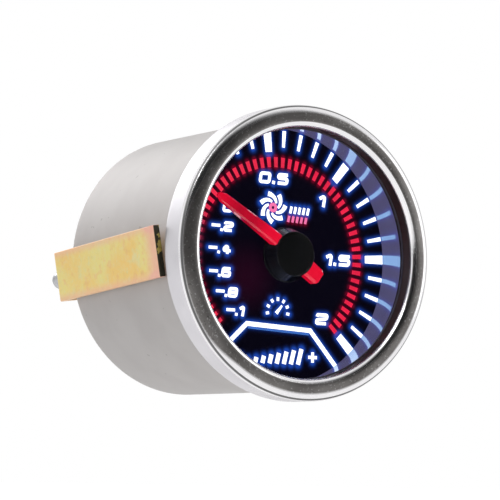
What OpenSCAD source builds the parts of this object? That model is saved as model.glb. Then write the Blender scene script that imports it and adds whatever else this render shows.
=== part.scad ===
// Panel-mounted boost gauge with a curved pressure tube, a geared pointer and a lit dial
// X is to the right of someone who reads the dial, Z is up, and the dial faces -Y
// The origin is on the body's axis, in the rear face of the bezel, where the panel seats

/* [Body] */
// Outside diameter of the body behind the bezel
body_d = 52; // [50:0.5:60]
// Depth of the body behind the panel seat
body_depth = 40.7; // [39:0.1:50]
// Sheet thickness of the body
body_sheet = 0.6; // [0.4:0.05:0.9]
// Outside radius of the body's rear edge
body_edge_r = 1.5; // [1.2:0.1:2.5]

/* [Bezel] */
// How far the bezel reaches past the body all round
bezel_lap = 2; // [1.6:0.1:3]
// Radial width of the bezel's front, from its side to its opening
bezel_face_w = 4.2; // [3.8:0.1:5]
// Length of the bezel's straight side
bezel_side = 5; // [4.5:0.1:7]
// How far the rolled front stands proud of the side
bezel_crown = 1.45; // [1.2:0.05:2]
// Radial width of the roll between its crest and the opening
bezel_roll_w = 1.4; // [1.1:0.1:1.8]
// Depth of the roll between its crest and the opening
bezel_roll_h = 0.95; // [0.8:0.05:1.2]
// Sheet thickness of the bezel
bezel_sheet = 0.7; // [0.5:0.05:0.75]
// Chamfer on the bezel's rear edge
bezel_edge = 0.35; // [0.1:0.05:0.6]

/* [Lens and seal] */
// Thickness of the flat lens
lens_t = 1.2; // [1:0.1:1.5]
// Thickness of each lip of the rubber seal
seal_lip = 0.4; // [0.3:0.05:0.5]
// Rubber left outside the lens
seal_wall = 0.9; // [0.7:0.05:1]
// How far the seal stands back from the bezel's opening
seal_show = 0.5; // [0.3:0.05:0.7]

/* [Dial and reflector] */
// Depth of the dial's face behind the panel seat
dial_depth = 5.2; // [4.9:0.1:6]
// Thickness of the dial plate
dial_t = 1; // [0.6:0.1:1.5]
// Wall of the reflector ring at the dial
reflector_wall = 0.6; // [0.4:0.05:0.8]
// Room between the dial's hole and the arbor
dial_hole_gap = 0.6; // [0.4:0.05:1]

/* [Lighting] */
// Thickness of the clear light guide
guide_t = 2.4; // [2:0.1:3]
// Height of a lamp chip
led_h = 1.2; // [0.8:0.1:1.6]
// Width of a lamp chip
led_w = 2; // [1.6:0.1:2.4]
// Room between the lamps and the light guide
led_gap = 0.4; // [0.3:0.1:0.8]
// Lamps in the outer, white ring
white_count = 12; // [6:1:16]
// Distance between the outer lamp ring and the board's edge
white_ring_inset = 4.3; // [3.5:0.1:6]
// Lamps in the inner, red ring
red_count = 4; // [3:1:8]
// Radius of the inner lamp ring
red_ring_r = 9; // [7:0.5:12]
// Thickness of the lamp board
board_t = 1.2; // [0.8:0.1:1.6]
// Wall of the ring that spaces the board from the light guide
spacer_wall = 1.1; // [0.8:0.1:1.4]
// Wall of the liner that carries the board
liner_wall = 1.3; // [1:0.1:1.6]
// Width of the board's plug socket
socket_w = 7; // [6:0.5:8]
// Height of the board's plug socket
socket_h = 3.6; // [3.2:0.1:4]
// Depth of the board's plug socket
socket_d = 4; // [3:0.5:5]
// Wall of the plug socket
socket_wall = 0.6; // [0.4:0.1:0.8]
// Thickness of a contact pin
contact_w = 0.6; // [0.4:0.1:0.7]
// Room between the plug socket and the liner, on the axis
socket_room = 2.2; // [1.5:0.1:3.5]

/* [Pointer] */
// Reach of the pointer's tip from its axis
pointer_reach = 18.6; // [15:0.1:19]
// Width of the blade at the hub
blade_w = 2.7; // [2:0.1:3]
// Width of the blade at the shoulders of its tip
blade_tip_w = 1.9; // [1.2:0.1:1.9]
// Length of the blade's pointed tip
blade_tip_l = 1.2; // [0.8:0.1:2]
// Width of the blade's blunt point
blade_point_w = 0.7; // [0.4:0.1:1]
// Thickness of the blade at the hub
blade_t = 2; // [1.6:0.1:2.2]
// Thickness of the blade at the tip
blade_tip_t = 0.8; // [0.6:0.1:1.2]
// How much deeper than the hub the tip's top lies
blade_drop = 3; // [2:0.1:3.2]
// Reach of the pointer's tail from its axis
tail_reach = 7.4; // [6:0.1:9]
// Width of the tail
tail_w = 3.4; // [2.5:0.1:4]
// Radius of the blade's disc inside the hub cap
blade_disc_r = 3.4; // [3:0.1:3.6]
// Radius of the hub cap's front
cap_front_r = 4.3; // [4.1:0.1:4.6]
// Radius of the hub cap's base
cap_base_r = 5.3; // [5:0.1:6]
// Height of the hub cap
cap_h = 3.5; // [3:0.1:4]
// Thickness of the hub cap over the blade
cap_top = 0.4; // [0.3:0.05:0.5]
// Chamfer on the hub cap's front edge
cap_edge = 0.25; // [0.1:0.05:0.3]
// Room between the hub cap and the lens
cap_lens_gap = 0.35; // [0.3:0.05:0.5]
// Angle of the pointer at rest, clockwise from the top of the dial
pointer_rest = -55; // [-60:1:-50]
// Degrees that the pointer turns back from rest, to full vacuum
pointer_fall = 80; // [60:1:90]
// Degrees that the pointer turns on from rest, to full pressure
pointer_rise = 190; // [150:1:200]

/* [Movement] */
// Radius of the pointer's arbor
arbor_r = 0.9; // [0.8:0.05:1]
// Radius of the small pivots that run in the plates
pivot_r = 0.5; // [0.4:0.05:0.6]
// Radial room of a pivot in its hole
pivot_gap = 0.03; // [0.01:0.01:0.06]
// Room between the movement plates and the pin on the tube's tip
plate_room_side = 1.1; // [0.6:0.1:1.5]
// How far the flats at the sides of the movement plates are cut back
plate_flat_cut = 1.3; // [0.8:0.1:1.6]
// Thickness of the front movement plate
front_plate_t = 1.2; // [1:0.1:1.5]
// Thickness of the rear movement plate
rear_plate_t = 1.4; // [1.2:0.1:1.8]
// Room between the two plates
plate_room = 7.2; // [7:0.1:8]
// Room between the lamp board and the front plate
board_room = 2.2; // [2:0.1:3]
// Radius of a pillar between the plates
pillar_r = 1.6; // [1.4:0.1:1.8]
// Distance between a pillar's axis and the plates' edge
pillar_inset = 3.8; // [3.6:0.1:4.3]
// Radius of a pillar screw's shank
pillar_screw_r = 0.7; // [0.5:0.05:0.8]
// Radius of a pillar screw's head
pillar_head_r = 1.4; // [1.2:0.1:1.6]
// Height of a pillar screw's head
pillar_head_h = 0.6; // [0.5:0.1:0.8]
// Depth of a pillar screw in its pillar
pillar_screw_l = 2.4; // [1.5:0.1:3]
// Width of a screw's slot
screw_slot_w = 0.4; // [0.3:0.05:0.5]
// Depth of a screw's slot
screw_slot_d = 0.3; // [0.2:0.05:0.4]

/* [Gears] */
// Distance between the sector's axis and the plates' edge
sector_inset = 2.4; // [2.2:0.1:3]
// Teeth of the pinion on the pointer's arbor
pinion_teeth = 12; // [12:1:13]
// Teeth that a full wheel of the sector's size would have
sector_teeth = 84; // [82:1:85]
// Direction of the sector's pivot from the pointer, anticlockwise from the right
sector_bearing = 242; // [240:1:244]
// Thickness of the sector
sector_t = 1.2; // [1:0.1:1.4]
// Length of the pinion
pinion_l = 2.4; // [2:0.1:2.6]
// Radius of the sector's hub
sector_hub_r = 2.4; // [2.2:0.1:2.6]
// Radius of the sector's arbor between the plates
sector_arbor_r = 1; // [0.8:0.05:1.2]
// Radial width of the sector's toothed rim
sector_rim_w = 2; // [1.6:0.1:2.4]
// Width of each arm of the sector
sector_arm_w = 1.6; // [1.4:0.1:2]
// Distance between the sector's pivot and the pin of the link
tail_arm = 5; // [4.5:0.1:5.2]

/* [Link] */
// Radius of the pins in the link's two ends
link_pin_r = 0.6; // [0.5:0.05:0.7]
// Width of the link's bar
link_w = 1.4; // [1:0.1:1.6]
// Thickness of the link
link_t = 0.8; // [0.6:0.05:0.9]
// Material around the link's holes
link_rim = 0.8; // [0.6:0.05:0.9]
// Room between the sector and the link
link_gap = 0.3; // [0.25:0.05:0.4]
// Free play at each end and side of the link's slotted eye
slot_play = 0.12; // [0.08:0.01:0.2]

/* [Hairspring] */
// Turns of the hairspring
spring_turns = 5; // [3:1:5]
// Radius at which the hairspring starts
spring_inner_r = 1.95; // [1.9:0.05:2.1]
// Radius at which the hairspring ends
spring_outer_r = 5.2; // [5:0.1:5.6]
// Thickness of the hairspring's strip
spring_strip = 0.15; // [0.1:0.01:0.2]
// Width of the hairspring's strip
spring_w = 0.8; // [0.5:0.1:0.9]
// Radius of the collet on the arbor
collet_r = 1.6; // [1.4:0.05:1.65]
// Length of the collet
collet_l = 1.4; // [1.2:0.1:1.5]
// Radius of the post that holds the hairspring's outer end
spring_post_r = 0.8; // [0.6:0.1:1]

/* [Pressure tube] */
// Room between the curved tube and the liner
tube_side_room = 4.4; // [4:0.1:5]
// Width of the flattened tube
tube_w = 7; // [6:0.1:7]
// Thickness of the flattened tube
tube_t = 2.2; // [1.8:0.1:2.2]
// Wall of the tube
tube_wall = 0.3; // [0.2:0.05:0.4]
// Direction of the tube's root, anticlockwise from the right
tube_root_angle = 256; // [254:1:258]
// Direction of the tube's tip, anticlockwise from the right
tube_tip_angle = -6; // [-8:1:-4]
// Degrees of arc that the block on the tube's tip takes up
tip_block_arc = 8; // [7:1:9]
// How much thicker than the tube the block on its tip is
tip_block_extra = 0.6; // [0.4:0.1:0.8]

/* [Pressure port] */
// Room between the port's washer and the clamp's strap
port_strap_room = 2.1; // [1.9:0.1:2.6]
// Width of the port block
block_w = 12; // [11.5:0.1:12.5]
// Height of the port block above the port
block_up = 5; // [4.5:0.1:5.5]
// Room between the port block's lower corners and the liner
block_room = 2.16; // [2:0.01:3]
// Radius of the port's thread
port_thread_r = 4; // [3.5:0.1:4.2]
// Radius of the hose pipe
pipe_r = 2.5; // [2:0.1:3]
// Length of the hose pipe
pipe_l = 12; // [10:0.5:20]
// Chamfer at the end of the hose pipe
pipe_edge = 0.4; // [0.2:0.1:0.6]
// Radius of the passage through the port
passage_r = 1; // [0.8:0.1:1.3]
// Width across the flats of the port nut
port_nut_af = 12; // [11:0.1:12.4]
// Height of the port nut
port_nut_h = 4; // [3:0.1:5]
// Radius of the port washer
port_washer_r = 6.6; // [6:0.1:6.8]
// Thickness of the port washer
port_washer_t = 0.8; // [0.6:0.1:1]
// Thread that stands past the port nut
port_thread_past = 1.5; // [1:0.1:3]
// Distance between the two screws that hold the movement to the block
block_screw_spacing = 7; // [6.5:0.1:7.5]
// Radius of a block screw's shank
block_screw_r = 0.9; // [0.7:0.05:1]
// Radius of a block screw's head
block_head_r = 1.7; // [1.5:0.1:1.8]
// Height of a block screw's head
block_head_h = 0.9; // [0.7:0.1:1.1]
// Depth of a block screw in the block
block_screw_l = 4.5; // [3:0.5:5]

/* [Wire inlet] */
// Room between the wire grommet and the clamp's strap
grommet_strap_room = 2.2; // [1.8:0.1:3]
// Radius of the hole for the grommet
grommet_hole_r = 4; // [3.6:0.1:4.2]
// Radius of the grommet's flanges
grommet_flange_r = 5.5; // [5:0.1:5.8]
// Thickness of the grommet's outer flange
grommet_flange_t = 1.6; // [1.2:0.1:2]
// Thickness of the grommet's inner flange
grommet_inner_t = 1.2; // [0.8:0.1:1.5]
// Radius of the grommet's wire hole
grommet_bore_r = 2; // [1.5:0.1:2.5]

/* [Studs and clamp] */
// Distance between a stud's axis and the side of the body
stud_inset = 7; // [6.5:0.1:7.5]
// Radius of the mounting studs
stud_r = 2; // [1.8:0.1:2.2]
// Length of the studs behind the body
stud_length = 17.8; // [16:0.1:25]
// Radius of a stud's head inside the body
stud_head_r = 4; // [3.5:0.1:4.2]
// Height of a stud's head
stud_head_h = 1.6; // [1.2:0.1:2]
// Chamfer at the end of a stud
stud_edge = 0.4; // [0.2:0.1:0.6]
// Thickness of the clamp's strap
strap_t = 1.3; // [1:0.05:1.5]
// Width of the clamp's strap
strap_w = 9.7; // [9.5:0.1:10]
// Room between the body and the clamp's arms
arm_gap = 1.3; // [1.2:0.05:1.6]
// Room between the body's rear face and the clamp
web_gap = 0.37; // [0.37:0.01:0.6]
// Room between the panel seat and the ends of the clamp's arms
panel_gap = 1.36; // [1:0.01:3]
// Outside radius of the clamp's bends
clamp_bend_r = 2; // [1.9:0.1:3]
// Radius of the clamp's stud holes
clamp_hole_r = 2.8; // [2.8:0.05:3]
// Turn of the clamp about the body's axis
clamp_turn = 8.3; // [0:0.1:9]
// Tilt of the clamp that lifts the ends of its arms
clamp_tilt = 3.7; // [0:0.1:3.8]
// Lift of the clamp on its studs
clamp_lift = 0.45; // [0:0.05:0.45]
// Radius of the clamp's washers
washer_r = 4.5; // [4.2:0.1:4.8]
// Thickness of the clamp's washers
washer_t = 0.8; // [0.6:0.1:1]
// Radius of the clamp's spring washers
spring_washer_r = 3.6; // [3.4:0.1:4]
// Thickness of the clamp's spring washers
spring_washer_t = 1; // [0.8:0.1:1.2]
// Split in the clamp's spring washers
spring_washer_split = 0.6; // [0.4:0.1:0.8]
// Width across the flats of the clamp's nuts
clamp_nut_af = 7; // [6.8:0.1:7.4]
// Height of the clamp's nuts
clamp_nut_h = 3.2; // [2.5:0.1:3.5]
// Chamfer on the corners of the nuts
nut_edge = 0.35; // [0.2:0.05:0.5]

/* [Hidden] */

$fn = 96;
// Points on each rounded quarter of a turned outline
quarter_steps = 14;
// Points on each flank of a tooth
flank_steps = 5;
// Points on each turn of the hairspring
spring_steps = 30;
// Extra length of every cut past the face that it opens
overrun = 0.5;
// Radial room between the body and what slides into it
slip = 0.1;
// Radial room between the body's rolled flange and the bezel
roll_gap = 0.15;
// Radial room of a thread in its hole or nut
thread_gap = 0.03;
// Radial room of a washer on its stud
washer_gap = 0.15;
// Room between faces that run past each other
run_gap = 0.05;
// Room around the curved tube in its socket
solder_gap = 0.03;
// Radial room around what sits in rubber or in a rubber's hole
seat_gap = 0.02;

// Radii of the shell
body_r = body_d / 2;
inner_r = body_r - body_sheet;
bezel_r = body_r + bezel_lap;
opening_r = bezel_r - bezel_face_w;
crest_r = opening_r + bezel_roll_w;
flange_r = bezel_r - bezel_sheet - roll_gap;
lens_r = flange_r - seal_wall;
seal_r = opening_r + seal_show;
insert_r = inner_r - slip;
liner_inner_r = insert_r - liner_wall;

// Depths of the faces, from the front to the back
bezel_front = -(bezel_side + bezel_crown);
flange_back = -bezel_sheet;
flange_front = flange_back - body_sheet;
lens_back = flange_front - seal_lip;
lens_front = lens_back - lens_t;
seal_front = lens_front - seal_lip;
cap_front = lens_back + cap_lens_gap;
cap_base = cap_front + cap_h;
blade_top = cap_front + cap_top;
dial_back = dial_depth + dial_t;
guide_back = dial_back + guide_t;
board_front = guide_back + led_gap + led_h;
board_back = board_front + board_t;
front_plate_front = board_back + board_room;
front_plate_back = front_plate_front + front_plate_t;
rear_plate_front = front_plate_back + plate_room;
rear_plate_back = rear_plate_front + rear_plate_t;
body_back = body_depth;
wall_front = body_back - body_sheet;

// Layers of the movement, from the front plate to the tube
sector_front_share = 0.3;
sector_front = front_plate_back + plate_room * sector_front_share;
sector_back = sector_front + sector_t;
pinion_front = (sector_front + sector_back - pinion_l) / 2;
link_front = sector_back + link_gap;
link_back = link_front + link_t;
collet_front = link_back + link_gap + run_gap;
spring_front = collet_front + (collet_l - spring_w) / 2;
tube_gap = 1.1;
tube_front = rear_plate_back + tube_gap;
tube_mid = tube_front + tube_w / 2;

// Places inside the liner, from the outside in
white_ring_r = insert_r - white_ring_inset;
socket_up = liner_inner_r - socket_room - socket_h / 2;
tube_ring_r = liner_inner_r - tube_side_room - tube_t / 2;
plate_r = tube_ring_r - link_pin_r - plate_room_side;
plate_flat_w = 2 * (plate_r - plate_flat_cut);
pillar_ring_r = plate_r - pillar_inset;

// Gear sizes
gear_centres = plate_r - sector_inset;
tooth_module = 2 * gear_centres / (pinion_teeth + sector_teeth);
gear_ratio = sector_teeth / pinion_teeth;
pressure_angle = 25;
addendum_share = 0.8;
dedendum_share = 1.1;
tooth_width_share = 0.88;
half_turn = 180;
full_turn = 360;

// Places of the sector, the tube's tip and the link, as [right, up] seen from the front
function polar(r, a) = r * [cos(a), sin(a)];
sector_at = polar(gear_centres, sector_bearing);
sector_face_angle = sector_bearing - half_turn;
sector_rise = pointer_rise / gear_ratio;
sector_fall = pointer_fall / gear_ratio;
tip_pin_angle = tube_tip_angle - tip_block_arc / 2;
tip_at = polar(tube_ring_r, tip_pin_angle);
to_tip = tip_at - sector_at;
tail_mid_angle = atan2(to_tip[1], to_tip[0]) - acos(tail_arm / norm(to_tip));
tail_angle = tail_mid_angle - (sector_rise - sector_fall) / 2;
tail_at = sector_at + polar(tail_arm, tail_angle);
link_run = tip_at - tail_at;
link_l = norm(link_run);
link_angle = atan2(link_run[1], link_run[0]);
link_along = polar(1, link_angle);
tail_risen = sector_at + polar(tail_arm, tail_angle + sector_rise);
tail_fallen = sector_at + polar(tail_arm, tail_angle - sector_fall);
slot_in = (tail_risen - tail_at) * link_along + slot_play;
slot_out = (tail_at - tail_fallen) * link_along + slot_play;
tail_sway = tail_arm * (1 - cos((sector_rise + sector_fall) / 2));
slot_r = link_pin_r + tail_sway + slot_play;
eye_r = link_pin_r + link_rim;
slot_eye_r = slot_r + link_rim;

// Places of the pillars, anticlockwise from the right, and of the hairspring's post
pillar_angles = [168, 45, -10];
spring_post_angle = 120;
spring_post_ring_r = spring_outer_r + spring_strip / 2 + spring_post_r + run_gap / 2;

// Pressure port and grommet, clear of the clamp's strap, and the block's lower end, clear of the liner
strap_reach = strap_w / 2 + clamp_lift;
port_drop = strap_reach + port_strap_room + port_washer_r;
grommet_up = strap_reach + grommet_strap_room + grommet_flange_r;
block_down = sqrt(pow(liner_inner_r - block_room, 2) - pow(block_w / 2, 2)) - port_drop;
port_at = [0, -port_drop];
block_head_up_share = 0.7;
block_screw_up = -port_drop + block_up * block_head_up_share;
port_nut_front = body_back + port_washer_t;
port_nut_back = port_nut_front + port_nut_h;
thread_end = port_nut_back + port_thread_past;
pipe_end = thread_end + pipe_l;

// Clamp and studs
stud_ring_r = body_r - stud_inset;
stud_tip = body_back + stud_length;
arm_inner = body_r + arm_gap;
arm_outer = arm_inner + strap_t;
web_front = body_back + web_gap;
web_back = web_front + strap_t;
clamp_inner_bend_r = clamp_bend_r - strap_t;
washer_front = web_back + (washer_r + clamp_lift) * tan(clamp_tilt) + run_gap;
washer_back = washer_front + washer_t;
spring_washer_back = washer_back + spring_washer_t;
clamp_nut_back = spring_washer_back + clamp_nut_h;

// A solid turned about the body's axis from an outline of [radius, depth] points
module turned() rotate([-90, 0, 0]) rotate_extrude() children();

// A flat outline seen from the front, given its front face's depth and its thickness
module slab(front, thickness)
    translate([0, front + thickness, 0]) rotate([90, 0, 0]) linear_extrude(thickness) children();

// A round bar along the depth, at a place seen from the front
module rod(r, front, back, at = [0, 0])
    translate([at[0], front, at[1]]) rotate([-90, 0, 0]) cylinder(r = r, h = back - front);

// A hexagonal bar along the depth, with its corners chamfered
module hex_bar(across_flats, front, back, at) {
    corner_r = across_flats / 2 / cos(30);
    translate([at[0], front, at[1]]) rotate([-90, 0, 0]) intersection() {
        cylinder(r = corner_r, h = back - front, $fn = 6);
        rotate_extrude() polygon([
            [0, 0], [corner_r - nut_edge, 0], [corner_r, nut_edge],
            [corner_r, back - front - nut_edge], [corner_r - nut_edge, back - front], [0, back - front]
        ]);
    }
}

// A tube along the depth, open at both ends
module pipe(r, bore_r, front, back, at = [0, 0]) difference() {
    rod(r, front, back, at);
    rod(bore_r, front - overrun, back + overrun, at);
}

// Turns what is drawn to the right so that it points at an angle, anticlockwise seen from the front
module swing(angle) rotate([0, -angle, 0]) children();

// Points of a quarter ellipse about a centre, between two angles
function quarter(centre, half_w, half_h, from, to) = [
    for (i = [0 : quarter_steps])
        let (a = from + (to - from) * i / quarter_steps)
        centre + [half_w * cos(a), half_h * sin(a)]
];

// Rolled steel body, closed at the back
module can_outline() polygon(concat(
    [[0, wall_front], [0, body_back]],
    quarter([body_r - body_edge_r, body_back - body_edge_r], body_edge_r, body_edge_r, 90, 0),
    [[body_r, flange_back], [flange_r, flange_back], [flange_r, flange_front], [inner_r, flange_front]],
    quarter([body_r - body_edge_r, body_back - body_edge_r], body_edge_r - body_sheet,
        body_edge_r - body_sheet, 0, 90)
));

// Places of the two studs, left and right
function stud_at(side) = polar(side * stud_ring_r, clamp_turn);

module housing_can() color([0.80, 0.79, 0.78]) difference() {
    turned() can_outline();
    for (side = [-1, 1]) rod(stud_r + thread_gap, wall_front - overrun, body_back + overrun, stud_at(side));
    rod(port_thread_r + thread_gap, wall_front - overrun, body_back + overrun, port_at);
    rod(grommet_hole_r, wall_front - overrun, body_back + overrun, [0, grommet_up]);
}

// Bezel rolled over the body's flange, with a bulged front
module bezel_ring() color([0.78, 0.76, 0.77]) turned() polygon(concat(
    [[body_r + slip, 0], [bezel_r - bezel_edge, 0], [bezel_r, -bezel_edge]],
    quarter([crest_r, -bezel_side], bezel_r - crest_r, bezel_crown, 0, -90),
    quarter([crest_r, bezel_front + bezel_roll_h], bezel_roll_w, bezel_roll_h, -90, -half_turn),
    [[opening_r, seal_front], [opening_r + bezel_sheet, seal_front]],
    quarter([crest_r, bezel_front + bezel_roll_h], bezel_roll_w - bezel_sheet,
        bezel_roll_h - bezel_sheet, -half_turn, -90),
    quarter([crest_r, -bezel_side], bezel_r - crest_r - bezel_sheet, bezel_crown - bezel_sheet, -90, 0),
    [[bezel_r - bezel_sheet, flange_back], [body_r + slip, flange_back]]
));

module lens() color([0.85, 0.90, 0.95, 0.3]) rod(lens_r, lens_front, lens_back);

// Rubber channel around the lens
module lens_seal() color([0.05, 0.05, 0.06]) turned() polygon([
    [seal_r, seal_front], [flange_r, seal_front], [flange_r, flange_front], [seal_r, flange_front],
    [seal_r, lens_back], [lens_r + seat_gap, lens_back], [lens_r + seat_gap, lens_front], [seal_r, lens_front]
]);

// Plastic ring whose inner wall mirrors the dial's edge
module reflector_ring() color([0.30, 0.32, 0.55]) turned() polygon([
    [seal_r, flange_front], [insert_r, flange_front], [insert_r, dial_depth],
    [insert_r - reflector_wall, dial_depth]
]);

module dial_plate() color([0.04, 0.04, 0.06])
    pipe(insert_r, arbor_r + dial_hole_gap, dial_depth, dial_back);

module light_guide() color([0.80, 0.88, 0.95, 0.6])
    pipe(insert_r, arbor_r + 2 * dial_hole_gap, dial_back, guide_back);

module board_spacer() color([0.92, 0.92, 0.90])
    pipe(insert_r, insert_r - spacer_wall, guide_back, board_front);

module led_board() color([0.10, 0.35, 0.18])
    pipe(insert_r, arbor_r + 2 * dial_hole_gap, board_front, board_back);

// Lamp chip with a raised lens, its foot on the board
module led_chip() {
    base_share = 0.6;
    dome_share = 0.4;
    translate([-led_w / 2, board_front - led_h * base_share, -led_w / 2])
        cube([led_w, led_h * base_share, led_w]);
    rod(led_w * dome_share, board_front - led_h, board_front - led_h * base_share);
}

// Ring of lamp chips, half a step off the top
module led_ring(count, r) for (i = [0 : count - 1])
    swing((i + 0.5) * full_turn / count + 90) translate([r, 0, 0]) led_chip();

module white_leds() color([0.95, 0.97, 1.0]) led_ring(white_count, white_ring_r);

module red_leds() color([0.9, 0.15, 0.12]) led_ring(red_count, red_ring_r);

// Two-way plug socket on the back of the board
module board_socket() color([0.93, 0.92, 0.86]) difference() {
    translate([-socket_w / 2, board_back, socket_up - socket_h / 2]) cube([socket_w, socket_d, socket_h]);
    translate([-socket_w / 2 + socket_wall, board_back + socket_wall, socket_up - socket_h / 2 + socket_wall])
        cube([socket_w - 2 * socket_wall, socket_d, socket_h - 2 * socket_wall]);
}

module socket_pins() color([0.85, 0.75, 0.45]) for (side = [-1, 1])
    translate([side * socket_w / 4 - contact_w / 2, board_back + socket_wall, socket_up - contact_w / 2])
        cube([contact_w, socket_d - 2 * socket_wall, contact_w]);

// Sleeve between the back wall and the board, chamfered for the body's rounded edge
module inner_liner() color([0.88, 0.88, 0.86]) turned() polygon([
    [liner_inner_r, board_back], [insert_r, board_back], [insert_r, body_back - body_edge_r],
    [insert_r - body_edge_r + body_sheet, wall_front], [liner_inner_r, wall_front]
]);

// Outline of the blade, its disc and its tail, pointing right, with all widths grown by a gap
module blade_outline(gap) {
    circle(r = blade_disc_r + gap);
    polygon([
        [0, -blade_w / 2 - gap], [pointer_reach - blade_tip_l, -blade_tip_w / 2 - gap],
        [pointer_reach + gap, -blade_point_w / 2], [pointer_reach + gap, blade_point_w / 2],
        [pointer_reach - blade_tip_l, blade_tip_w / 2 + gap], [0, blade_w / 2 + gap]
    ]);
    intersection() {
        circle(r = tail_reach + gap);
        translate([-tail_reach - gap, -tail_w / 2 - gap]) square([tail_reach + gap, tail_w + 2 * gap]);
    }
}

pointer_angle = 90 - pointer_rest;
blade_floor = blade_top + blade_t;
blade_slope_start = cap_base_r + run_gap;

// Translucent blade that slopes down from the hub to the dial
module pointer_blade() color([0.85, 0.05, 0.12]) difference() {
    swing(pointer_angle) intersection() {
        slab(blade_top, blade_drop + blade_t) blade_outline(0);
        translate([0, 0, -cap_base_r]) linear_extrude(2 * cap_base_r) polygon([
            [-cap_base_r - tail_reach, blade_top], [blade_slope_start, blade_top],
            [pointer_reach + overrun, blade_top + blade_drop],
            [pointer_reach + overrun, blade_top + blade_drop + blade_tip_t],
            [blade_slope_start, blade_floor], [-cap_base_r - tail_reach, blade_floor]
        ]);
    }
    rod(arbor_r, blade_top + cap_top, blade_floor + overrun);
}

// Tapered cap with a window that the blade passes through
module pointer_cap() color([0.03, 0.03, 0.04]) difference() {
    turned() polygon([
        [0, cap_front], [cap_front_r - cap_edge, cap_front], [cap_front_r, cap_front + cap_edge],
        [cap_base_r, cap_base], [0, cap_base]
    ]);
    swing(pointer_angle) slab(blade_top, blade_t + 2 * run_gap) blade_outline(run_gap);
    rod(arbor_r, blade_top, cap_base + overrun);
}

module pointer_arbor() color([0.75, 0.75, 0.78]) {
    rod(arbor_r, blade_top + cap_top + run_gap, rear_plate_front - run_gap);
    rod(pivot_r, rear_plate_front - run_gap, rear_plate_back);
}

// Involute tooth sizes, worked out from the number of teeth
function pitch_r(teeth) = teeth * tooth_module / 2;
function base_r(teeth) = pitch_r(teeth) * cos(pressure_angle);
function tip_r(teeth) = pitch_r(teeth) + addendum_share * tooth_module;
function root_r(teeth) = pitch_r(teeth) - dedendum_share * tooth_module;
function roll(teeth, r) = sqrt(max(0, pow(r / base_r(teeth), 2) - 1));
function involute_angle(teeth, r) = roll(teeth, r) * half_turn / PI - atan(roll(teeth, r));
function flank_angle(teeth, r) =
    half_turn / teeth / 2 * tooth_width_share
    + involute_angle(teeth, pitch_r(teeth)) - involute_angle(teeth, r);
function flank_r(teeth, i) = root_r(teeth) + (tip_r(teeth) - root_r(teeth)) * i / flank_steps;

// One tooth that points right, rooted below the gear's root circle
module tooth(teeth) {
    root_share = 0.9;
    polygon(concat(
        [polar(root_r(teeth) * root_share, -flank_angle(teeth, root_r(teeth)))],
        [for (i = [0 : flank_steps]) polar(flank_r(teeth, i), -flank_angle(teeth, flank_r(teeth, i)))],
        [for (i = [flank_steps : -1 : 0]) polar(flank_r(teeth, i), flank_angle(teeth, flank_r(teeth, i)))],
        [polar(root_r(teeth) * root_share, flank_angle(teeth, root_r(teeth)))]
    ));
}

// Pinion with a tooth space towards the sector
module pinion() color([0.85, 0.72, 0.35]) slab(pinion_front, pinion_l) difference() {
    union() {
        circle(r = root_r(pinion_teeth));
        for (i = [0 : pinion_teeth - 1])
            rotate(sector_bearing + (i + 0.5) * full_turn / pinion_teeth) tooth(pinion_teeth);
    }
    circle(r = arbor_r);
}

module hairspring_collet() color([0.85, 0.72, 0.35])
    pipe(collet_r, arbor_r, collet_front, collet_front + collet_l);

// Radius of the hairspring's centre line after a number of steps
function spring_r(i) = spring_inner_r + (spring_outer_r - spring_inner_r) * i / spring_turns / spring_steps;
function spring_angle(i) = spring_post_angle + i * full_turn / spring_steps;

module hairspring() color([0.80, 0.70, 0.45]) slab(spring_front, spring_w) {
    last = spring_turns * spring_steps;
    polygon(concat(
        [for (i = [0 : last]) polar(spring_r(i) + spring_strip / 2, spring_angle(i))],
        [for (i = [last : -1 : 0]) polar(spring_r(i) - spring_strip / 2, spring_angle(i))]
    ));
}

module hairspring_post() color([0.85, 0.72, 0.35])
    rod(spring_post_r, collet_front, rear_plate_front, polar(spring_post_ring_r, spring_post_angle));

// Places of the pillars seen from the front
function pillar_at(i) = polar(pillar_ring_r, pillar_angles[i]);
pillar_last = len(pillar_angles) - 1;

// Round plate with flat sides
module plate_blank(front, thickness) slab(front, thickness) intersection() {
    circle(r = plate_r);
    square([plate_flat_w, 2 * plate_r], center = true);
}

module plate_holes(front, back, arbor_hole_r) {
    rod(arbor_hole_r, front - overrun, back + overrun);
    rod(pivot_r + pivot_gap, front - overrun, back + overrun, sector_at);
    for (i = [0 : pillar_last])
        rod(pillar_screw_r + thread_gap, front - overrun, back + overrun, pillar_at(i));
}

module front_plate() color([0.84, 0.70, 0.36]) difference() {
    plate_blank(front_plate_front, front_plate_t);
    plate_holes(front_plate_front, front_plate_back, arbor_r + pivot_gap);
}

// Places of the two screws that hold the movement to the port block
function block_screw_at(side) = [side * block_screw_spacing / 2, block_screw_up];

module rear_plate() color([0.84, 0.70, 0.36]) difference() {
    plate_blank(rear_plate_front, rear_plate_t);
    plate_holes(rear_plate_front, rear_plate_back, pivot_r + pivot_gap);
    for (side = [-1, 1])
        rod(block_screw_r + thread_gap, rear_plate_front - overrun, rear_plate_back + overrun,
            block_screw_at(side));
}

module plate_pillars() color([0.86, 0.73, 0.38]) for (i = [0 : pillar_last]) difference() {
    rod(pillar_r, front_plate_back, rear_plate_front, pillar_at(i));
    rod(pillar_screw_r + thread_gap, front_plate_back - overrun, front_plate_back + pillar_screw_l + run_gap,
        pillar_at(i));
    rod(pillar_screw_r + thread_gap, rear_plate_front - pillar_screw_l - run_gap, rear_plate_front + overrun,
        pillar_at(i));
}

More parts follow.
